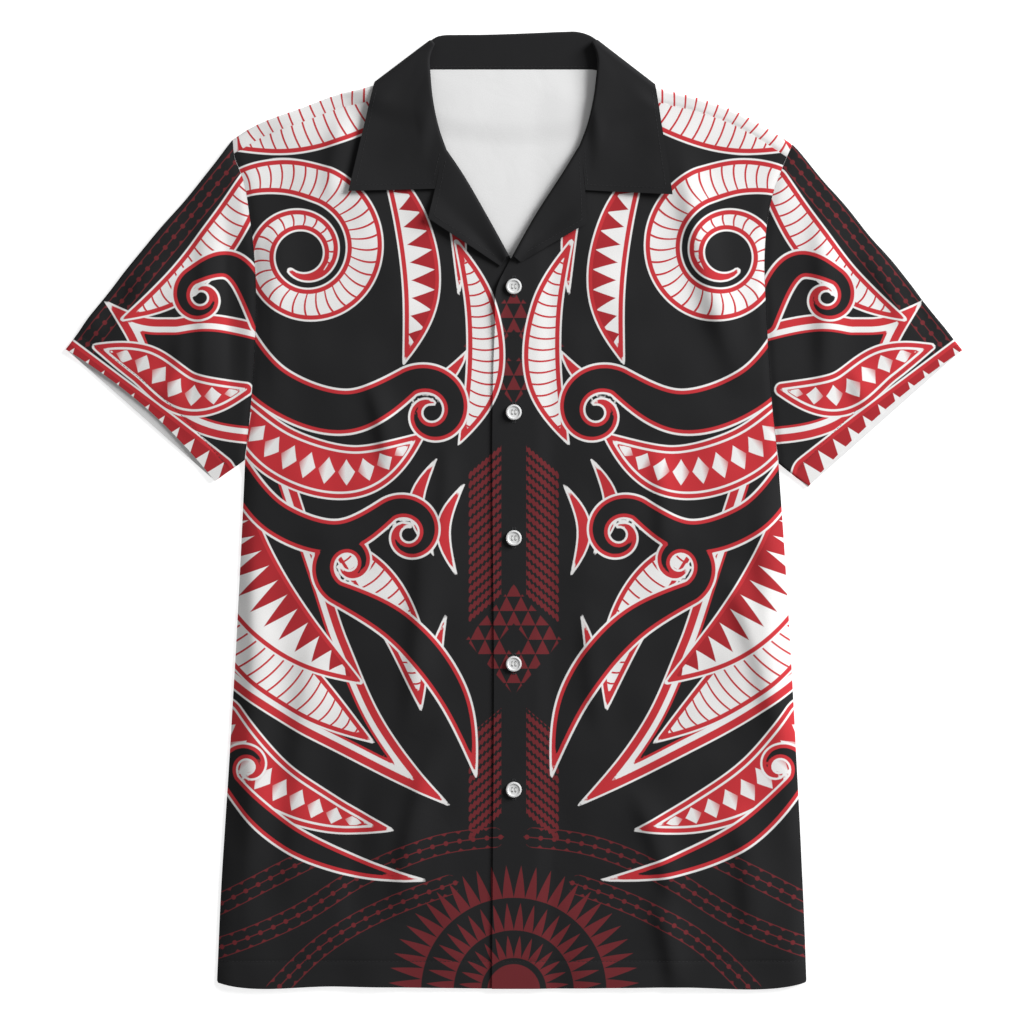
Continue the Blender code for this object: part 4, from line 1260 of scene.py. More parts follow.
@dataclass(frozen=True)
class PrintedCloth:
    """The printed cloth's outside: bold forms on black, drawn from each piece's own values."""

    name: str = "printed_cloth_outside"
    roughness: float = 0.8
    soft: float = 0.5
    hem_y: float = -384.0
    rung_pitch: float = 9.0
    rung_bow: float = 3.5
    kite_pitch: float = 16.0
    tooth_pitch: float = 15.0
    dot_pitch: float = 11.0
    garland_half: float = 9.0
    garland_line: float = 8.0
    bead: float = 1.9
    sun_disc: float = 21.0
    sun_rings: tuple = ((26, 44, 14), (48, 70, 20), (74, 100, 26))
    chevrons: tuple = ((-60, 60), (-236, -150))
    braid: Place = (10.0, 36.0)
    braid_slope: float = 0.85
    braid_pitch: float = 7.6
    diamonds: tuple = ((130, 40, 46), (-104, 38, 44))
    tile: float = 11.5
    grain: Grain = Grain()

    def form(self, bench: Bench, motif: Motif) -> tuple[Wire, Wire, Wire]:
        """A motif's distance from its edge, distance along it and place across it."""
        held = bench.add("ShaderNodeAttribute", {"attribute_name": motif.value}, {})[1]
        return tuple(bench.add("ShaderNodeSeparateXYZ", {}, {0: held}))

    def banded(self, bench: Bench, ground: Colour, edge: Wire, steps: Sequence) -> Wire:
        """Lays colours one inside the other.

        Args:
            bench: the material's bench.
            ground: the colour outside the form.
            edge: the distance outside its edge.
            steps: how deep inside the edge each ink starts.

        Returns:
            The colour with the form on it.
        """
        for depth, ink in steps:
            ground = bench.mix(edge.below(-depth, self.soft), ground, ink.value)
        return ground

    def garlands(self, bench: Bench) -> Wire:
        """Thin double lines with a beaded line between them and small triangles along them.

        Args:
            bench: the material's bench.

        Returns:
            1 on them, and 0 beside them.
        """
        edge, along, across = self.form(bench, Motif.GARLAND)
        inside = edge.below(-0.8, self.soft)
        place = ((along / self.dot_pitch).part() - 0.5) * self.dot_pitch
        off = across * self.garland_half
        from_line = abs(abs(off) - self.garland_line)
        lines = from_line.below(0.5, self.soft).most(abs(off).below(0.4, self.soft)) * inside
        bead = (place * place + off * off).maths("SQRT").below(self.bead, self.soft)
        teeth = (abs(place) * 0.36 + from_line * 0.5).below(1.1, 0.4)
        return lines.most(bead.most(teeth) * inside)

    def half_sun(self, u: Wire, y: Wire) -> Wire:
        """Rings of rays round a disc at the middle of the hem.

        Args:
            u: the distance from the middle.
            y: the place along the shirt.

        Returns:
            1 on them, and 0 beside them.
        """
        up = y - self.hem_y
        reach = (u * u + up * up).maths("SQRT")
        turn = up.maths("ARCTAN2", u) / math.pi
        found = reach.below(self.sun_disc, self.soft)
        for inner, outer, rays in self.sun_rings:
            ray = abs((turn * rays).part() - 0.5) * 2.0
            share = (outer - reach) / (outer - inner)
            found = found.most(ray.below(share, 0.08) * reach.within(inner, outer, self.soft))
        return found

    def middle(self, u: Wire, y: Wire) -> Wire:
        """Braided chevrons and diamonds of triangles down the middle.

        Args:
            u: the distance from the middle.
            y: the place along the shirt.

        Returns:
            1 on them, and 0 beside them.
        """
        rise = y + u * self.braid_slope
        bead = (u * 2.0).maths("COSINE") * 0.22 + 0.62
        braid = abs((rise / self.braid_pitch).part() - 0.5) * 2.0
        braid = braid.below(bead, 0.12) * u.within(*self.braid, self.soft)
        found = None
        for low, high in self.chevrons:
            part = rise.within(low, high, self.soft)
            found = part if found is None else found.most(part)
        found = braid * found
        for centre, half_width, half_height in self.diamonds:
            up = y - centre
            rim = u / half_width + abs(up) / half_height
            row = up / self.tile
            shift = row.whole() * 0.5
            place = abs((u / self.tile + shift).part() - 0.5) * 2.0
            triangle = place.below(1.0 - row.part(), 0.08)
            found = found.most(rim.within(0.3, 1.0, 0.03) * triangle)
        return found

    def material(self) -> bpy.types.Material:
        """Makes the printed cloth's material.

        Returns:
            The material.
        """
        bench = Bench(self.name)
        x, y, _ = bench.add("ShaderNodeSeparateXYZ", {}, {0: bench.cut()})
        u, y = abs(x * (1 / MM) - MIDDLE_X), y * (1 / MM)
        deep = self.garlands(bench).most(self.half_sun(u, y)).most(self.middle(u, y))
        colour: Colour = bench.mix(deep, Ink.BLACK.value, Ink.EMBER.value)
        edge, _, _ = self.form(bench, Motif.BAND)
        colour = self.banded(bench, colour, edge, (
            (0, Ink.WHITE), (1.5, Ink.RED), (7.5, Ink.WHITE), (12.0, Ink.RED), (14.0, Ink.BLACK),
        ))
        edge, along, across = self.form(bench, Motif.RUNG)
        colour = self.banded(bench, colour, edge, ((0, Ink.WHITE), (1.5, Ink.RED), (5.0, Ink.WHITE)))
        bowed = along + across * across * self.rung_bow
        rung = (bowed / self.rung_pitch).part().below(0.16, 0.06) * edge.below(-4.8, self.soft)
        colour = bench.mix(rung, colour, Ink.RED.value)
        edge, along, across = self.form(bench, Motif.KITE)
        colour = self.banded(bench, colour, edge, (
            (0, Ink.WHITE), (1.5, Ink.RED), (5.0, Ink.WHITE), (6.8, Ink.RED),
        ))
        place = (along / self.kite_pitch).part()
        kite = abs(place - 0.5) * 2.0 + abs(across) * 1.8
        kite = kite.below(0.85, 0.08) * edge.below(-7.5, self.soft)
        shade = (1.0 - place * 2.2).most(0.0)
        colour = bench.mix(kite, colour, bench.mix(shade, Ink.WHITE.value, Ink.RED.value))
        edge, along, across = self.form(bench, Motif.TOOTH)
        colour = self.banded(bench, colour, edge, ((0, Ink.WHITE), (1.5, Ink.RED), (5.0, Ink.WHITE)))
        saw = abs((along / self.tooth_pitch).part() - 0.5) * 2.4 - 0.7
        colour = bench.mix(across.below(saw, 0.08) * edge.below(-4.5, self.soft), colour, Ink.DEEP_RED.value)
        edge, _, _ = self.form(bench, Motif.SWEEP)
        colour = self.banded(bench, colour, edge, ((0, Ink.WHITE), (1.7, Ink.RED), (4.6, Ink.BLACK)))
        colour = self.grain.tone(bench, colour)
        bump = self.grain.bump(bench)
        return bench.finish(Base_Color=colour, Roughness=self.roughness, Normal=bump, **CLOTH_SHEEN)


@dataclass(frozen=True)
class Thread:
    """Spun sewing thread, a little lighter and darker along its twist."""

    name: str
    colour: tuple[int, int, int]

    def material(self) -> bpy.types.Material:
        """Makes the thread's material.

        Returns:
            The material.
        """
        bench = Bench(self.name)
        twist = bench.noise(bench.place(), 2400.0, 2.0)
        colour = bench.scaled(paint(*self.colour), (twist - 0.5) * 0.6 + 1.0)
        bump = bench.bump(twist, 0.1 * MM, 0.6)
        return bench.finish(Base_Color=colour, Roughness=0.6, Normal=bump, Specular_IOR_Level=0.3)


@dataclass(frozen=True)
class ButtonPlastic:
    """Glossy white plastic with a faint swirl in it."""

    name: str = "button_plastic"

    def material(self) -> bpy.types.Material:
        """Makes the button's material.

        Returns:
            The material.
        """
        bench = Bench(self.name)
        swirl = bench.noise(bench.place(), 260.0, 3.0, 2.5)
        colour = bench.mix(swirl, paint(236, 236, 235), paint(214, 215, 216))
        return bench.finish(
            Base_Color=colour, Roughness=swirl * 0.12 + 0.2, Coat_Weight=0.35, Coat_Roughness=0.12,
        )


# ---------------- pieces of cloth


@dataclass
class Shoulder:
    """The top of one side, where the back panel folds forward to its seam with the front."""

    form: ShirtForm
    side: Side
    steps: int = 48
    arc_steps: int = 10
    strip_steps: int = 5
    arm_reach: float = 40.0
    end_blend: float = 7.0
    level_inset: float = 3.0
    seam_drop: float = 0.7

    def arm_points(self) -> Line:
        """The armhole's first points on the body's side.

        Returns:
            The points at the fold and at the seam.
        """
        form = self.form
        curve = form.armhole(self.side)
        points = at_lengths(curve, np.linspace(0.0, self.arm_reach, 81))
        away = normals(points, self.side.sign)
        points = points - away * form.gap / 2
        return at_lengths(points, np.array([form.fold_inset(), form.shoulder_seam]))

    def rows(self) -> tuple[list[np.ndarray], list[np.ndarray]]:
        """The fold and the strip in front of it.

        Returns:
            Rows of points from the fold's foot to the seam, and their places on the cut.
        """
        form, side = self.form, self.side
        line = in_steps(through(side.shoulder), self.steps)
        away = normals(line, -side.sign)
        arm = self.arm_points()
        up_arm = unit(arm[0] - arm[1])
        near = np.exp(-lengths(line) / self.end_blend)[:, None]
        line = line + (arm[0] + up_arm * form.fold_inset() - line[0]) * near
        away = units(away * (1.0 - near) + up_arm * near)
        low = form.back_level(*line.T)
        high = form.top_level(*(line - self.level_inset * away).T)
        foot = line - away * ((high - low) / 2 + form.half)[:, None]
        foot = foot + (arm[0] - foot[0]) * near
        low = form.back_level(*foot.T)
        radius = (high - low) / 2
        rows, cuts = [], []
        for angle in np.linspace(-math.pi / 2, math.pi / 2, self.arc_steps + 1):
            out = foot + away * (radius * math.cos(angle))[:, None]
            height = (low + high) / 2 + radius * math.sin(angle)
            rows.append(lifted(out, height))
            cuts.append(foot + away * (radius * (angle + math.pi / 2))[:, None])
        seam = line - away * (form.shoulder_seam - form.gap / 2)
        seam = seam + (arm[1] + up_arm * form.gap / 2 - seam[0]) * near
        neck_end = np.array(side.seam[-1]) + (side.sign * form.gap, form.gap / 2)
        seam = seam + (neck_end - seam[-1]) * near[::-1]
        top = form.top_level(*foot.T)
        for share in np.linspace(0.0, 1.0, self.strip_steps + 1)[1:]:
            plan = foot + (seam - foot) * share
            height = form.top_level(*plan.T) + (high - top) * (1.0 - share)
            height = height - self.seam_drop * smooth((share - 0.7) / 0.3)
            rows.append(lifted(plan, height))
            run = radius * math.pi + np.linalg.norm(plan - foot, axis=1)
            cuts.append(foot + away * run[:, None])
        return rows, cuts


@dataclass
class BackPanel:
    """The back: flat on the table, raised over the collar's fall and folded over at the shoulders."""

    form: ShirtForm
    spacing: float = 4.2
    insets: tuple[float, ...] = (1.2, 3.0)
    neck_half: float = 64.0
    neck_steps: int = 32
    arm_steps: int = 80

    def cloth(self) -> Cloth:
        """The panel with its folded strips.

        Returns:
            Its points, faces and cut.
        """
        form = self.form
        folds = [Shoulder(form, side).rows() for side in SIDES]
        chains = []
        for side in SIDES:
            arm = form.armhole(side)
            away = normals(arm, side.sign)
            where = np.linspace(form.fold_inset(), lengths(arm)[-1], self.arm_steps)
            arm = at_lengths(arm - away * form.gap / 2, where)
            chains.append([arm, through(side.body)])
        right, left = (rows[0][:, :2] for rows, _ in folds)
        neck_y = form.neck_seam_y - form.gap
        outline = joined([
            *chains[0], *(through(side.hem) for side in SIDES), chains[1][1][::-1], chains[1][0][::-1],
        ], self.spacing)
        outline = np.concatenate([
            outline, left[1:],
            straight((self.neck_half, neck_y), (-self.neck_half, neck_y), self.neck_steps), right[::-1][:-1],
        ])
        plan, faces = fill_outline(outline, self.spacing, self.insets)
        cloth = Cloth(raised(plan, form.back_level), faces, plan)
        for rows, cuts in folds:
            cloth.add(rows, cuts)
        return cloth


@dataclass
class FrontPanel:
    """One front: from the shoulder seam to the hem, and from the armhole to past the middle."""

    form: ShirtForm
    side: Side
    spacing: float = 2.6
    insets: tuple[float, ...] = (0.7, 1.8, 3.4, 5.4)
    edge_places: Places = ((-6.0, 191.6), (-12.4, 177.6), (-14.0, 146.8), (-14.8, -152.4), (-16.4, -382.8))
    neck_steps: int = 60
    under_top_y: float = 168.0
    under_steps: int = 40
    hem_start_x: float = -4.0
    arm_steps: int = 80
    hem_crease: float = 1.2
    hem_ends: tuple[float, ...] = (1.2, 1.0, 1.6)

    def neckline(self) -> Line:
        """The inner edge along collar and lapel.

        Returns:
            The line from the shoulder seam to the V's foot.
        """
        form, side = self.form, self.side
        neck = through(side.seam)[::-1]
        roll = through(side.lapel_roll)
        lapel = roll + normals(roll, side.sign) * form.lip
        line = in_steps(np.concatenate([neck, lapel[4:]]), self.neck_steps)
        line = line + normals(line, side.sign) * form.gap
        past = unit(roll[-1] - roll[-2]) * form.gap
        return np.concatenate([line[:-1], [line[-1] + past, roll[-1] + past]])

    def outline(self) -> Line:
        """The panel's edge in plan.

        Returns:
            The closed outline.
        """
        form, side = self.form, self.side
        rows, _ = Shoulder(form, side).rows()
        seam = rows[-1][:, :2]
        away = normals(in_steps(through(side.shoulder), len(seam) - 1), -side.sign)
        shoulder = seam - away * form.gap
        inner = self.neckline()
        shoulder[-1] = inner[0] + unit(inner[1] - inner[0]) * form.gap / 2
        arm = form.armhole(side)
        arm = arm - normals(arm, side.sign) * form.gap / 2
        arm = at_lengths(arm, np.linspace(form.shoulder_seam + form.gap, lengths(arm)[-1], self.arm_steps))
        shoulder[0] = arm[0]
        body = through(side.body)
        if side.sign < 0:
            edge = straight(
                (form.lap_end, self.under_top_y), (form.lap_end, form.hem_y), self.under_steps,
            )
            hem = [edge[-1:], through(side.hem)[::-1]]
        else:
            edge = through(self.edge_places)
            hem = [edge[-1:], [(self.hem_start_x, form.hem_y)], through(side.hem)]
        start = np.concatenate([inner[-1:], edge[:1]])
        return joined([
            shoulder, inner[1:], start, edge, np.concatenate(hem), body[::-1], arm[::-1],
        ], self.spacing)

    def cloth(self) -> Cloth:
        """The panel on its heights.

        Returns:
            Its points, faces and cut.
        """
        creases = [self.hem_line() + (0.0, self.hem_crease * turn) for turn in (-1, 0, 1)]
        plan, faces = fill_outline(self.outline(), self.spacing, self.insets, creases)
        return Cloth(raised(plan, self.form.front_level(self.side)), faces, plan)

    def hem_line(self) -> Line:
        """Where the hem is sewn.

        Returns:
            The line from the side seam to the front edge.
        """
        form, side = self.form, self.side
        y = form.hem_y + form.hem_margin + form.hem_depth
        at_side, at_under_edge, at_over_edge = self.hem_ends
        start = float(form.side_x(side, np.array(y))) - side.sign * at_side
        end = form.lap_end - at_under_edge if side.sign < 0 else self.edge_places[-1][0] + at_over_edge
        return straight((start, y), (end, y), 2)


@dataclass
class Sleeve:
    """A flattened tube from the armhole to the cuff: front layer, top fold, back layer, seam."""

    form: ShirtForm
    side: Side
    ease: float = 0.5
    cuff_rise: float = 1.5
    cuff_slope: float = 9.0
    cuff_edge: float = 0.45
    cuff_from: float = 36.0
    cuff_over: float = 26.0
    cuff_gap: float = 1.0
    hem_dip_width: float = 1.3
    fold_allowance: float = 6.0
    underarm_blend: float = 24.0
    bow_power: float = 0.9
    end_power: int = 8
    between_power: float = 0.5
    spacing: float = 2.7
    arc_steps: int = 8

    def arc(self, start: np.ndarray, end: np.ndarray, out: np.ndarray) -> np.ndarray:
        """The points between two layers, round a fold that bulges outwards.

        Args:
            start: the point where the fold begins.
            end: the point where it ends.
            out: which way it bulges in plan.

        Returns:
            The points between, without start and end.
        """
        t = np.linspace(0.0, 1.0, self.arc_steps + 1)[1:-1, None]
        plan = start[:2] + (end[:2] - start[:2]) * t
        plan = plan + out * abs(start[2] - end[2]) / 2 * np.sin(math.pi * t)
        height = (start[2] + end[2]) / 2 + (start[2] - end[2]) / 2 * np.cos(math.pi * t)
        return np.concatenate([plan, height], axis=1)

    def layers(self) -> tuple[np.ndarray, np.ndarray]:
        """The plan of the sleeve's front and back layers.

        Returns:
            For each layer rows of points, from the armhole to the cuff, each from the
            underarm to the top fold.
        """
        form, side = self.form, self.side
        inset = form.fold_inset()
        curve = form.armhole(side)
        total = lengths(curve)[-1]
        where = np.linspace(inset, total - inset, round(total / self.spacing))
        arm = at_lengths(curve, where)
        near = smooth((where - total) / self.underarm_blend + 1.0)[:, None]
        arm = (arm + normals(arm, side.sign) * (form.gap / 2 + self.ease * near))[::-1]
        upper, lower = np.array(side.cuff_upper), np.array(side.cuff_lower)
        chord = unit(upper - lower)
        share = lengths(arm) / lengths(arm)[-1]
        cuff = lower + chord * (inset + share * (np.hypot(*(upper - lower)) - 2 * inset))[:, None]
        inward = side.sign * np.array([chord[1], -chord[0]])
        if inward @ (cuff[0] - arm[0]) > 0:
            inward = -inward
        bowed = cuff + inward * (side.cuff_bow * np.sin(math.pi * share) ** self.bow_power)[:, None]
        top = every(through(side.sleeve_top), self.spacing)
        top = top + normals(top, -side.sign) * inset
        run = np.linspace(0.0, 1.0, len(top))[:, None]
        top = (
            top + (arm[-1] - top[0]) * (1 - run) ** self.end_power
            + (cuff[-1] - top[-1]) * run**self.end_power
        )
        under = straight(arm[0], cuff[0], len(top) - 1)
        return coons(arm, bowed, under, top), coons(arm, cuff, under, top)

    def hem_line(self, front: np.ndarray) -> Line:
        """Where the cuff's hem is sewn on the front layer, from the underarm to the top fold."""
        runs = [front[:, column] for column in range(2, front.shape[1] - 1)]
        return np.array([at_lengths(run, lengths(run)[-1:] - self.form.cuff_depth)[0] for run in runs])

    def cloth(self) -> Cloth:
        """The tube, whose cuff opens a little.

        Returns:
            Its points, faces and cut.
        """
        form, side = self.form, self.side
        level = form.sleeve_level(side)
        front, back = self.layers()
        hem = self.hem_line(front)
        crease = unit(front[-1, -1] - front[0, -1])
        outward = -side.sign * np.array([crease[1], -crease[0]])
        if outward @ (front[0, 0] - front[0, -1]) > 0:
            outward = -outward
        rings, cuts = [], []
        for f, b in zip(front, back):
            dip = form.stitch_dip * np.exp(-((curve_distance(*f.T, hem) / self.hem_dip_width) ** 2))
            left = float(lengths(front[:, len(f) // 2])[-1]) * (1.0 - len(rings) / (len(front) - 1.0))
            near_cuff = float(smooth(np.array((self.cuff_from - left) / self.cuff_over)))
            share = lengths(b) / lengths(b)[-1]
            between = np.sin(math.pi * share * 0.999) ** self.between_power
            upper_row = lifted(f, level(*f.T) - dip)
            slope = self.cuff_edge + (1.0 - self.cuff_edge) * min(left / self.cuff_slope, 1.0)
            rise = self.cuff_rise * near_cuff * slope * between
            rise = np.clip(rise, 0.0, level(*b.T) - form.back_mid - self.cuff_gap)
            lower_row = lifted(b, form.back_mid + rise)
            over = self.arc(upper_row[-1], lower_row[-1], unit(f[-1] - f[-2]))
            beneath = self.arc(lower_row[0], upper_row[0], unit(f[0] - f[1]))
            turned = b + 2.0 * ((front[0, -1] - b) @ outward)[:, None] * outward
            turned = turned + outward * self.fold_allowance
            cuts.append(np.concatenate([
                f, straight(f[-1], turned[-1], self.arc_steps)[1:-1], turned[::-1],
                straight(f[0] - unit(f[1] - f[0]) * self.fold_allowance, f[0], self.arc_steps)[1:-1],
            ]))
            rings.append(np.concatenate([upper_row, over, lower_row[::-1], beneath]))
        faces = grid_faces(len(rings), len(rings[0]), closed=True)
        return Cloth(np.concatenate(rings), faces, np.concatenate(cuts))


@dataclass
class Turned:
    """The sizes of a band that is seamed on, stands, rolls over and lies down as a leaf."""

    form: ShirtForm
    stand_steps: int = 8
    roll_steps: int = 12
    leaf_steps: int = 26
    edge_rise: float = 2.4
    edge_rise_from: float = 0.45
    settled_by: float = 0.8
    stitch_inset: float = 4.6

    def section(
        self, seam: np.ndarray, centre: np.ndarray, radius: float, out: np.ndarray, over: np.ndarray,
        leaf: np.ndarray,
    ) -> np.ndarray:
        """One section across the band.

        Args:
            seam: where it is sewn on.
            centre: the middle of its roll.
            radius: the roll's radius.
            out: which way the roll bulges.
            over: which way the leaf lies from the roll's middle.
            leaf: the leaf's points, from over the roll's middle to its edge.

        Returns:
            The section's points.
        """
        angles = np.linspace(-math.pi / 2, math.pi / 2, self.roll_steps + 1)[:, None]
        arc = centre + radius * (out * np.cos(angles) + over * np.sin(angles))
        return np.concatenate([straight(seam, arc[0], self.stand_steps)[:-1], arc, leaf[1:]])

    def leaf_height(self, plan: Line, start: float, base: Level, rise: float) -> np.ndarray:
        """Heights over a leaf: high at the roll, then at rest, then lifting at its edge.

        Args:
            plan: the leaf's points in plan, from the roll to the edge.
            start: the height at the roll.
            base: the height of what it lies on.
            rise: how far its edge lifts.

        Returns:
            The height of each point.
        """
        share = np.linspace(0.0, 1.0, len(plan))
        rest = base(plan[:, 0], plan[:, 1]) + self.form.layer + self.form.leaf_rest
        rest = rest + rise * smooth((share - self.edge_rise_from) / (1.0 - self.edge_rise_from))
        return rest + np.maximum(start - rest, 0.0) * (1.0 - smooth(share / self.settled_by))

    def edge_stitches(self, sections: Sequence[np.ndarray]) -> Line:
        """A line on the cloth that keeps its distance from the leaf's outer edge."""
        return np.array([at_lengths(row, lengths(row)[-1:] - self.stitch_inset)[0] for row in sections])

    def end_stitches(self, sections: Sequence[np.ndarray]) -> Line:
        """A line on the cloth that keeps its distance from the first section.

        Args:
            sections: the band's sections.

        Returns:
            The line, from the roll down the leaf.
        """
        grid = np.stack(sections)
        first = self.stand_steps + self.roll_steps + 2
        line = np.array([
            at_lengths(grid[:, column], np.array([self.stitch_inset]))[0]
            for column in range(first, grid.shape[1])
        ])
        return at_lengths(line, np.linspace(0.0, lengths(line)[-1] - self.stitch_inset, 40))

    def edge_line(self, side: Side, start: np.ndarray, corner: Place, corner_at: int) -> Line:
        """The end of a leaf in plan, down the gorge to the notch and on to a corner.

        Args:
            side: the side of the shirt.
            start: where it leaves the roll.
            corner: the leaf's corner.
            corner_at: how many steps lie before the notch.

        Returns:
            The line, with a point for each of the leaf's steps.
        """
        edge = in_steps(through([tuple(start), side.gorge, side.notch]), corner_at)
        return np.concatenate([edge, straight(side.notch, corner, self.leaf_steps - corner_at)[1:]])

    def laid_out(self, sections: Sequence[np.ndarray]) -> Cloth:
        """Joins sections into cloth.

        Args:
            sections: the band's sections.

        Returns:
            The cloth, with a cut that keeps their lengths both ways.
        """
        points = np.stack(sections)
        across = np.stack([lengths(row) for row in sections])
        steps = np.linalg.norm(np.diff(points, axis=0), axis=2).mean(axis=1)
        along = np.concatenate([[0.0], np.cumsum(steps)])
        cut = np.stack([np.repeat(along[:, None], across.shape[1], axis=1), across], axis=2)
        faces = grid_faces(len(sections), points.shape[1])
        return Cloth(points.reshape(-1, 3), faces, cut.reshape(-1, 2))


@dataclass
class Lapel(Turned):
    """The turned-out top of a front's facing, from the gorge to the foot of the V."""

    side: Side = WEARER_RIGHT
    steps: int = 60
    roll_radius: float = 1.9
    tuck: float = 1.2
    gorge_offset: float = 0.2

    def sections(self) -> list[np.ndarray]:
        """The lapel's sections.

        Returns:
            The sections from the gorge to the foot of the V.
        """
        form, side = self.form, self.side
        base = form.front_level(side)
        roll = in_steps(through(side.lapel_roll), self.steps)
        out = normals(roll, -side.sign)
        centres = roll - out * (self.roll_radius + form.half)
        seams = roll - out * form.lip
        for line in (centres, seams):
            line[0] -= unit(roll[1] - roll[0]) * self.tuck
            line[-1] += unit(roll[-1] - roll[-2]) * self.tuck
        corner_at = self.leaf_steps // 2
        start = self.edge_line(side, centres[0], side.lapel_tip, corner_at)
        under_gorge = smooth(np.arange(len(start)) / corner_at)[:, None]
        under_gorge[-1] = 0.0
        start = start + np.array([-side.sign * self.gorge_offset, -form.gap]) * under_gorge
        end = straight(centres[-1], side.lapel_foot, self.leaf_steps)
        outer = straight(side.lapel_tip, side.lapel_foot, self.steps)
        plan = coons(start, end, centres, outer)
        low = base(*seams.T)
        sections = []
        for i in range(self.steps + 1):
            rise = self.edge_rise * float(smooth(np.array((1.0 - i / self.steps) / 0.5)))
            height = self.leaf_height(plan[i], low[i] + 2 * self.roll_radius, base, rise)
            sections.append(self.section(
                np.array([*seams[i], low[i]]), np.array([*centres[i], low[i] + self.roll_radius]),
                self.roll_radius, np.array([*out[i], 0.0]), UP,
                lifted(plan[i], height),
            ))
        return sections


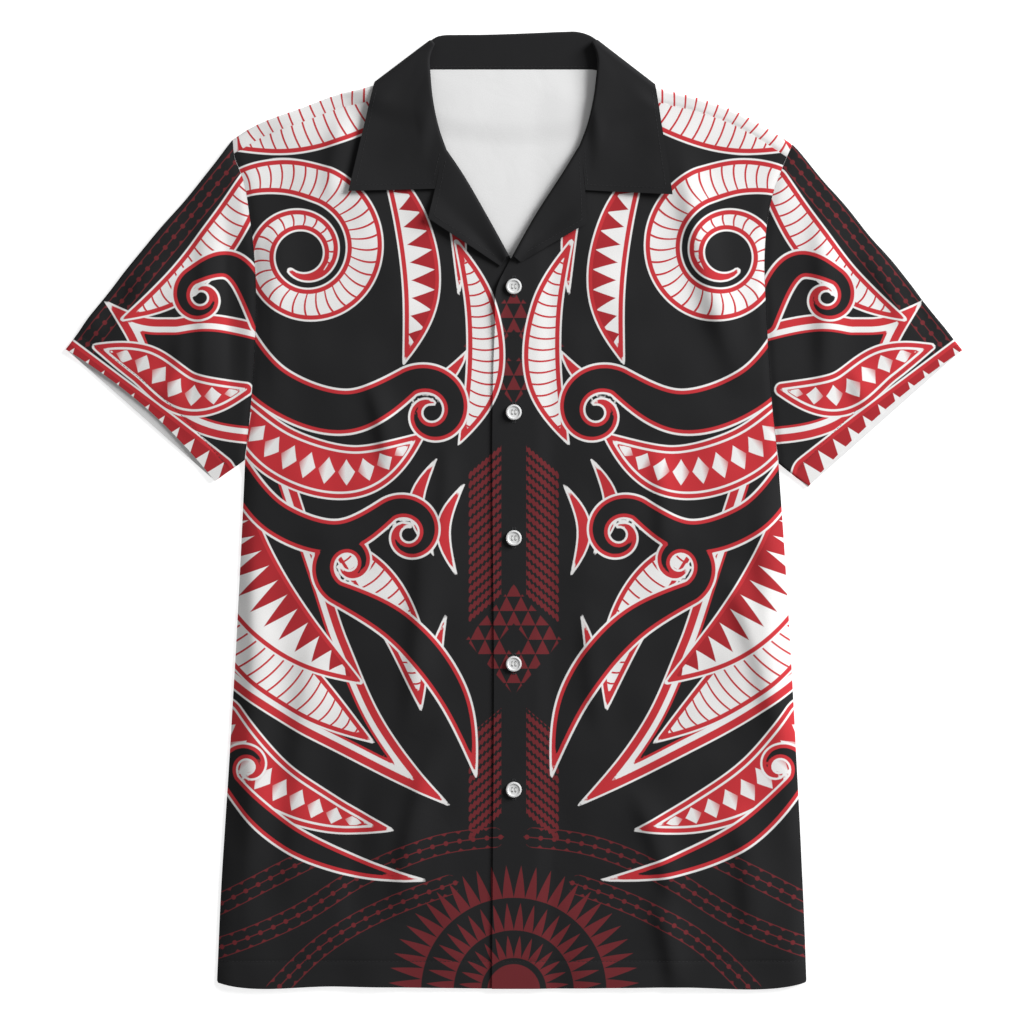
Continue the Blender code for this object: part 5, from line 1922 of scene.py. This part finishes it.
@dataclass
class Collar(Turned):
    """The one-piece camp collar: seam, stand, roll and fall, all round the neck."""

    lapel_radius: float = 1.9
    radius: float = 1.6
    turn: float = 3.2
    set_back: float = 1.0
    end_angle: float = math.radians(62.0)
    side_y: float = 360.0
    side_ease: float = 0.4
    blend_from: float = 0.4
    seam_inset: float = 2.2
    neck_inset: Place = (0.9, 0.1)
    corner_probe: float = 4.0
    lower_steps: int = 24
    upper_steps: int = 14
    corner_steps: int = 26
    back_steps: int = 30
    top: Places = (
        (-65.4, 374.5), (-63.6, 376.0), (-59.6, 378.2), (-54.4, 379.2), (-46.0, 379.4), (-26.0, 379.5),
        (0.0, 380.2), (22.0, 381.1), (42.0, 381.9), (50.4, 382.0), (56.0, 381.0), (61.0, 379.2),
        (64.8, 377.0), (67.0, 375.0),
    )

    def turn_frame(self, side: Side) -> tuple[np.ndarray, np.ndarray, np.ndarray, np.ndarray]:
        """How the collar turns at the shoulder.

        Args:
            side: the side of the shirt.

        Returns:
            In plan: the way along the turn, the way out of it, its axis, and how it ends.
        """
        along = unit(np.array(side.collar_corner) - np.array(side.fall_corner))
        out = -side.sign * np.array([-along[1], along[0]])
        reach = self.turn + self.radius + self.form.half
        axis = np.array(side.collar_corner) - out * reach - along * self.set_back
        facing = np.array([-side.sign * math.cos(self.end_angle), math.sin(self.end_angle)])
        return along, out, axis, facing

    def front(self, side: Side, point: dict) -> list[np.ndarray]:
        """The front of the neck, each flat roll opening towards the middle.

        Args:
            side: the side of the shirt.
            point: the points and heights where it turns over the shoulder.

        Returns:
            The sections, upwards.
        """
        form = self.form
        along, _, axis, _ = point["frame"]
        base = form.front_level(side)
        roll = np.array(side.roll)
        end = axis + (self.radius + form.half) * along
        beside = (roll[-1][0] + self.side_ease * side.sign, self.side_y)
        upper = through([*side.roll[-2:], beside, tuple(end)])
        upper = np.concatenate([roll[-1:], upper[upper[:, 1] > roll[-1][1]]])
        rolls = np.concatenate([
            in_steps(through(side.roll), self.lower_steps), in_steps(upper, self.upper_steps)[1:],
        ])
        seams = in_steps(through(side.seam), self.lower_steps)
        seams = np.concatenate([seams, straight(seams[-1], point["hps"], self.upper_steps)[1:]])
        count = len(rolls)
        rise_share = np.clip((np.arange(count) - self.lower_steps) / self.upper_steps, 0.0, 1.0)
        late = (rise_share**3)[:, None]
        out = units(normals(rolls, side.sign) * (1.0 - late) + along * late)
        radii = np.linspace(self.lapel_radius, self.radius, count)
        seam_z = form.top_level(*seams.T)
        seam_z = seam_z + (point["hps_high"] - seam_z[-1]) * rise_share**2
        centre_z = seam_z + radii
        rise = form.back_mid + self.radius + 2.0 * self.turn - centre_z[-1]
        centre_z = centre_z + rise * smooth(rise_share)
        centres = rolls - out * (radii + form.half)[:, None]
        centres = centres + (axis - centres[-1]) * late
        outer = straight(side.leaf_point, point["front_corner"], count - 1)
        start = self.edge_line(side, centres[0], side.leaf_point, 2 * self.leaf_steps // 5)
        plan = coons(start, straight(axis, point["front_corner"], self.leaf_steps), centres, outer)
        sections = []
        for i in range(count):
            high = centre_z[i] + radii[i]
            blend = (rise_share[i] - self.blend_from) / (1.0 - self.blend_from)
            blend = float(smooth(np.array(blend)))
            height = self.leaf_height(plan[i], high, base, self.edge_rise * (1.0 - blend))
            ramp = np.linspace(high, point["corner_top"], self.leaf_steps + 1)
            height = height * (1.0 - blend) + ramp * blend
            sections.append(self.section(
                np.array([*seams[i], seam_z[i]]), np.array([*centres[i], centre_z[i]]), radii[i],
                np.array([*out[i], 0.0]), UP, lifted(plan[i], height),
            ))
        return sections

    def over_shoulder(self, side: Side, point: dict) -> list[np.ndarray]:
        """The top of the shoulder, where the collar passes from front to back.

        Args:
            side: the side of the shirt.
            point: the points and heights where it turns over the shoulder.

        Returns:
            The sections, front to back.
        """
        form = self.form
        along, out, axis, last_facing = point["frame"]
        axis_z = form.back_mid + self.radius + self.turn
        leaf_top = np.linspace(axis_z + self.turn + self.radius, point["corner_top"], self.leaf_steps + 1)
        leaf_radius = (leaf_top - form.back_mid) / 2
        shoulder_out = normals(in_steps(through(side.shoulder), 7), -side.sign)[-1]
        low, high = point["hps_low"], point["hps_high"]
        sections = []
        for step in range(1, self.corner_steps):
            share = step / self.corner_steps
            angle = math.pi / 2 - math.pi * share
            over = np.array([*out, 0.0]) * math.cos(angle) + UP * math.sin(angle)
            facing = along + (last_facing - along) * float(smooth(np.array(2.0 * share - 1.0)))
            facing = np.array([*facing, 0.0])
            facing = unit(facing - (facing @ over) * over)
            centre = np.array([*axis, axis_z]) + self.turn * over
            lean = (point["front_corner"] - point["corner"]) * (1.0 - math.cos(max(angle, 0.0)))
            line = straight(axis, point["corner"] + lean, self.leaf_steps)
            leaf = lifted(line, form.back_mid + leaf_radius) + leaf_radius[:, None] * over
            seam_over = np.array([*shoulder_out, 0.0]) * math.cos(angle) + UP * math.sin(angle)
            seam = np.array([*point["hps"], (low + high) / 2]) + (high - low) / 2 * seam_over
            sections.append(self.section(seam, centre, self.radius, facing, over, leaf))
        return sections

    def behind_neck(self, side: Side, point: dict) -> list[np.ndarray]:
        """Behind the neck, with the stand on top and the fall below.

        Args:
            side: the side of the shirt.
            point: the points and heights where it turns over the shoulder.

        Returns:
            The sections, up to the middle.
        """
        form = self.form
        _, _, axis, first_facing = point["frame"]
        first_top = axis + first_facing * (self.radius + form.half)
        places = sorted((p for p in self.top if p[0] * side.sign >= 0), key=lambda p: -abs(p[0]))
        tops = in_steps(through([tuple(first_top), *places]), self.back_steps)
        neck = [(side.sign * x, form.neck_seam_y) for x in form.neck_seam_places]
        knots = np.array([point["hps"], *neck])
        place = np.linspace(0.0, len(neck), self.back_steps + 1)
        seams = np.stack([np.interp(place, range(len(knots)), knots[:, k]) for k in (0, 1)], axis=1)
        blend = smooth(place)[:, None]
        facing = units(first_facing * (1.0 - blend) + np.array([0.0, 1.0]) * blend)
        centres = tops - facing * (self.radius + form.half)
        lower_x = np.linspace(point["corner"][0], 0.0, self.back_steps + 1)
        lower = np.stack([lower_x, form.fall_edge_y(lower_x)], axis=1)
        lower = lower + (point["corner"] - lower[0]) * (1.0 - blend)
        middle = straight(centres[-1], lower[-1], self.leaf_steps)
        plan = coons(straight(axis, point["corner"], self.leaf_steps), middle, centres, lower)
        sections = []
        for i in range(self.back_steps + 1):
            leaf = lifted(plan[i], np.full(self.leaf_steps + 1, form.back_mid))
            sections.append(self.section(
                np.array([*seams[i], point["hps_low"]]),
                np.array([*centres[i], form.back_mid + self.radius]), self.radius,
                np.array([*facing[i], 0.0]), -UP, leaf,
            ))
        return sections

    def half(self, side: Side) -> list[np.ndarray]:
        """Half of the collar, over one shoulder.

        Args:
            side: the side of the shirt.

        Returns:
            The sections from its front end to the middle of the back.
        """
        form = self.form
        framed = self.turn_frame(side)
        rows, _ = Shoulder(form, side).rows()
        hps = rows[0][-1, :2] + (-side.sign * self.neck_inset[0], form.gap + self.neck_inset[1])
        over = np.array(side.fall_corner) - self.corner_probe * framed[1]
        top = float(form.top_level(*over)) + form.layer + form.leaf_rest
        reach = (top - form.back_mid) / 2 + form.half
        edge = unit(np.array(side.fall_corner) - np.array(side.leaf_point))
        point = {
            "frame": framed,
            "hps": hps,
            "hps_low": float(form.back_level(*hps)),
            "hps_high": float(rows[Shoulder.arc_steps][-1, 2]),
            "corner_top": top,
            "corner": np.array(side.fall_corner) - framed[1] * reach,
            "front_corner": np.array(side.fall_corner) - edge * reach / (edge @ framed[1]),
        }
        sections = self.front(side, point) + self.over_shoulder(side, point)
        return sections + self.behind_neck(side, point)

    def sections(self) -> list[np.ndarray]:
        """Sections from the wearer's right end of the collar round to the left end."""
        right, left = (self.half(side) for side in SIDES)
        return right + left[-2::-1]

    def stitches(self, sections: Sequence[np.ndarray]) -> list[Line]:
        """Where the collar is topstitched.

        Args:
            sections: the band's sections.

        Returns:
            The lines along both leaves and above the neck seam.
        """
        front = self.lower_steps + self.upper_steps
        lines = []
        for half in (sections, sections[::-1]):
            lines += [self.edge_stitches(half[3:front]), self.end_stitches(half[:front])]
        behind = len(sections) // 2 - self.back_steps
        where = np.array([self.seam_inset])
        seam = [at_lengths(row, where)[0] for row in sections[behind + 1:-behind - 1]]
        return lines + [np.array(seam)]


# ---------------- stitches, buttonholes and threads


@dataclass
class Sewing:
    """Stitches that lie on the cloth, each a copy of one modelled bead of thread."""

    material: bpy.types.Material
    length: float = 2.5
    pitch: float = 3.2
    width: float = 0.34
    lift: float = 0.5
    slant: float = 0.07
    slant_turn: float = 1.7
    ahead: float = 0.4

    def bead(self) -> tuple[np.ndarray, Faces]:
        """Models one bead of thread, 1 long and 1 thick along X.

        Returns:
            Its points and its faces, in the same order each run.
        """
        bpy.ops.object.select_all(action="DESELECT")
        bpy.ops.mesh.primitive_uv_sphere_add(segments=6, ring_count=5, radius=0.5)
        ball = bpy.context.object
        bpy.ops.object.mode_set(mode="EDIT")
        bpy.ops.mesh.select_all(action="SELECT")
        bpy.ops.transform.rotate(value=math.pi / 2, orient_axis="Y", center_override=(0.0, 0.0, 0.0))
        bpy.ops.object.mode_set(mode="OBJECT")
        points = np.array([tuple(vertex.co) for vertex in ball.data.vertices])
        faces = [tuple(polygon.vertices) for polygon in ball.data.polygons]
        firsts = [face.index(min(face)) for face in faces]
        faces = sorted(face[first:] + face[:first] for face, first in zip(faces, firsts))
        bpy.data.objects.remove(ball, do_unlink=True)
        return points, faces

    def lay(self, name: str, places: Line, ways: Line, size: tuple[float, float]) -> bpy.types.Object:
        """Lays beads down as one object.

        Args:
            name: the object's name.
            places: the middle of each bead, in millimetres.
            ways: which way each runs.
            size: a bead's length and thickness.

        Returns:
            The object, riding on the shirt.
        """
        points, bead_faces = self.bead()
        length, width = size
        count = len(points)
        ways = units(ways)
        sides = units(np.cross(UP, ways))
        rises = np.cross(ways, sides)
        points_laid = (
            places[:, None] + points[None, :, :1] * ways[:, None] * length
            + points[None, :, 1:2] * sides[:, None] * width + points[None, :, 2:] * rises[:, None] * width
        ).reshape(-1, 3)
        faces = [
            tuple(corner + index * count for corner in face)
            for index in range(len(places)) for face in bead_faces
        ]
        mesh = bpy.data.meshes.new(name)
        mesh.from_pydata([Vector(point) * MM for point in points_laid], [], faces)
        mesh.materials.append(self.material)
        thing = placed(name, mesh)
        bpy.ops.object.shade_smooth_by_angle(angle=math.radians(80))
        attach(thing, BODY)
        log.info("%s: %d stitches", name, len(places))
        return thing

    def row(self, name: str, lines: Sequence[Line], slot: str) -> bpy.types.Object:
        """Rows of stitches along lines on the middle of the cloth.

        Args:
            name: the object's name.
            lines: the lines, in millimetres.
            slot: the finish of the cloth that is sewn; not used.

        Returns:
            The object.
        """
        places, ways = [], []
        for line in lines:
            where = np.arange(self.pitch / 2, lengths(line)[-1], self.pitch)
            middle = at_lengths(line, where)
            ahead = at_lengths(line, where + self.ahead) - at_lengths(line, where - self.ahead)
            slant = np.cross(UP, units(ahead)) * self.slant * np.sin(where * self.slant_turn)[:, None]
            places.append(middle + UP * self.lift)
            ways.append(units(ahead) + slant)
        thing = self.lay(name, np.concatenate(places), np.concatenate(ways), (self.length, self.width))
        return thing


@dataclass
class Buttons:
    """The five buttons on the placket, their buttonholes and the thread that holds them."""

    form: ShirtForm
    top_y: float = 178.0
    pitch: float = 100.4
    count: int = 5
    hole: float = 1.34
    face: float = 1.72
    slit: float = 14.6
    slit_width: float = 1.5
    slit_stitches: int = 72
    slit_square: float = 0.35
    slit_end: float = 0.6
    slit_stitch: Place = (1.5, 0.4)
    strand: float = 0.26
    bar: Place = (3.7, 0.5)

    def centres(self) -> Line:
        """The buttons' middles in plan."""
        return np.array([(MIDDLE_X, self.top_y - self.pitch * index) for index in range(self.count)])

    def buttonholes(self, sewing: Sewing) -> bpy.types.Object:
        """Sews close stitches round each upright slit, on the over front.

        Args:
            sewing: the thread.

        Returns:
            The stitches.
        """
        level = self.form.front_level(WEARER_LEFT)
        turns = np.linspace(0.0, math.tau, self.slit_stitches, endpoint=False)
        half = self.slit / 2
        edge = np.stack([
            self.slit_width * np.sign(np.cos(turns)) * np.abs(np.cos(turns)) ** self.slit_square,
            half * np.sin(turns) + self.slit_width * self.slit_end * np.sin(turns),
        ], axis=1)
        away = units(np.stack([edge[:, 0], np.maximum(np.abs(edge[:, 1]) - half, 0.0) * np.sign(edge[:, 1])],
                              axis=1) + 1e-6)
        places, ways = [], []
        for centre in self.centres():
            plan = centre + edge
            places.append(raised(plan, level) + UP * (self.form.half + 0.05))
            ways.append(lifted(away, np.zeros(len(away))))
        thing = sewing.lay("buttonholes", np.concatenate(places), np.concatenate(ways), self.slit_stitch)
        return thing

    def threads(self, sewing: Sewing) -> bpy.types.Object:
        """Lays two short bars of thread over each button, from hole to hole.

        Args:
            sewing: the thread.

        Returns:
            The bars.
        """
        places, ways = [], []
        for number, centre in enumerate(self.centres()):
            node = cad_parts[f"button_{number + 1}"]
            low = min((node.matrix_world @ Vector(corner)).z for corner in node.bound_box) / MM
            for column in (-self.hole, self.hole):
                for strand in (-self.strand, self.strand):
                    places.append((centre[0] + column + strand, centre[1], low + self.face))
                    ways.append((strand * 0.1, 1.0, 0.0))
        thing = sewing.lay("button_threads", np.array(places), np.array(ways), self.bar)
        return thing

    def finish(self, material: bpy.types.Material) -> None:
        """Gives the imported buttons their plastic.

        Args:
            material: the plastic.
        """
        for number in range(1, self.count + 1):
            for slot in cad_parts[f"button_{number}"].material_slots:
                slot.material = material
            log.info("button_%d: finished in %s", number, material.name)


# ---------------- the studio


@dataclass
class Studio:
    """A plain pale floor, soft light from the upper right and a camera straight above."""

    camera_height: float = 2.276
    lens: float = 100.0
    centre: Place = (-0.0004, -0.002)
    lamps: tuple = (
        ("key_light", (2.7, 1.7, 1.62), 1.6, 190.0), ("fill_light", (-1.2, 0.6, 2.6), 1.8, 4.0),
    )
    air: float = 0.22
    floor_glow: float = 0.72

    def floor(self) -> None:
        """The floor, well past the camera's view."""
        bpy.ops.object.select_all(action="DESELECT")
        bpy.ops.mesh.primitive_plane_add(size=60.0, location=(0.0, 0.0, 0.0))
        floor = bpy.context.object
        floor.name = "floor"
        bench = Bench("floor_paper")
        fibre = bench.noise(bench.place(), 40.0, 3.0)
        colour = bench.mix(fibre, (0.6, 0.6, 0.6, 1.0), (0.64, 0.64, 0.64, 1.0))
        floor.data.materials.append(bench.finish(
            Base_Color=colour, Roughness=0.9,
            Emission_Color=(1.0, 1.0, 1.0, 1.0), Emission_Strength=self.floor_glow,
        ))

    def light(self, name: str, place: tuple, size: float, power: float) -> None:
        """Hangs a square soft light that points at the shirt.

        Args:
            name: its name.
            place: where it hangs.
            size: its side.
            power: its watts.
        """
        lamp = bpy.data.lights.new(name, "AREA")
        lamp.size = size
        lamp.energy = power
        thing = bpy.data.objects.new(name, lamp)
        thing.location = place
        thing.rotation_euler = (-Vector(place)).to_track_quat("-Z", "Y").to_euler()
        bpy.context.scene.collection.objects.link(thing)

    def build(self) -> None:
        """Sets up the floor, the lights, the camera and the way colours are shown."""
        self.floor()
        for lamp in self.lamps:
            self.light(*lamp)
        world = bpy.data.worlds.new("studio")
        world.use_nodes = True
        background = world.node_tree.nodes["Background"].inputs
        background["Color"].default_value = (1.0, 1.0, 1.0, 1.0)
        background["Strength"].default_value = self.air
        scene = bpy.context.scene
        scene.world = world
        scene.view_settings.view_transform = "Standard"
        scene.view_settings.look = "None"
        camera = bpy.data.cameras.new("camera")
        camera.lens = self.lens
        camera.sensor_width = 36.0
        camera.clip_end = 50.0
        thing = bpy.data.objects.new("camera", camera)
        thing.location = (*self.centre, self.camera_height)
        scene.collection.objects.link(thing)
        scene.camera = thing


# ---------------- making it all


def main() -> None:
    """Builds the shirt piece by piece, then the studio."""
    logging.basicConfig(level=logging.INFO, format="%(message)s")
    form = ShirtForm()
    outside = PrintedCloth().material()
    inside = PlainCloth("printed_cloth_inside", Ink.INSIDE).material()
    plain = PlainCloth("black_cloth", Ink.BLACK).material()
    black_thread = Sewing(Thread("black_thread", (44, 44, 46)).material())
    white_thread = Sewing(Thread("white_thread", (226, 226, 224)).material())
    back = BackPanel(form).cloth()
    thing = sew("back_cloth", back, FAR_ABOVE, (outside, inside), print_fields(back.cut, BACK_FORMS))
    declare(thing, back, "back")
    buttons = Buttons(form)
    buttonholes = buttons.buttonholes(black_thread)
    for side in SIDES:
        panel = FrontPanel(form, side)
        front = panel.cloth()
        hem = black_thread.row(
            f"front_{side.name}_hem_stitches",
            [raised(every(panel.hem_line(), 2.0), form.front_level(side))], "printed_cloth",
        )
        thing = sew(f"front_{side.name}_cloth", front, FAR_BELOW, (outside, inside),
                    print_fields(front.cut, BODY_FORMS))
        declare(thing, front, f"front_{side.name}")
        sleeve = Sleeve(form, side)
        cloth = sleeve.cloth()
        line = raised(sleeve.hem_line(sleeve.layers()[0]), form.sleeve_level(side)) - UP * form.stitch_dip
        hem = black_thread.row(f"sleeve_{side.name}_hem_stitches", [line], "printed_cloth")
        thing = sew(f"sleeve_{side.name}_cloth", cloth, (side.sign * 290.0, 2.0), (outside, inside),
                    print_fields(cloth.cut, SLEEVE_FORMS))
        declare(thing, cloth, f"sleeve_{side.name}")
        lapel = Lapel(form, side=side)
        sections = lapel.sections()
        cloth = lapel.laid_out(sections)
        edge = black_thread.row(
            f"lapel_{side.name}_stitches",
            [lapel.edge_stitches(sections[4:-6]), lapel.end_stitches(sections)], "black_cloth",
        )
        thing = sew(f"lapel_{side.name}_cloth", cloth, FAR_BELOW, (plain,))
        declare(thing, cloth, f"lapel_{side.name}")
    collar = Collar(form)
    sections = collar.sections()
    cloth = collar.laid_out(sections)
    edge = black_thread.row("collar_stitches", collar.stitches(sections), "black_cloth")
    thing = sew("collar_cloth", cloth, FAR_BELOW, (plain,))
    declare(thing, cloth, "collar")
    buttons.finish(ButtonPlastic().material())
    buttons.threads(white_thread)
    Studio().build()


if __name__ == "__main__":
    main()
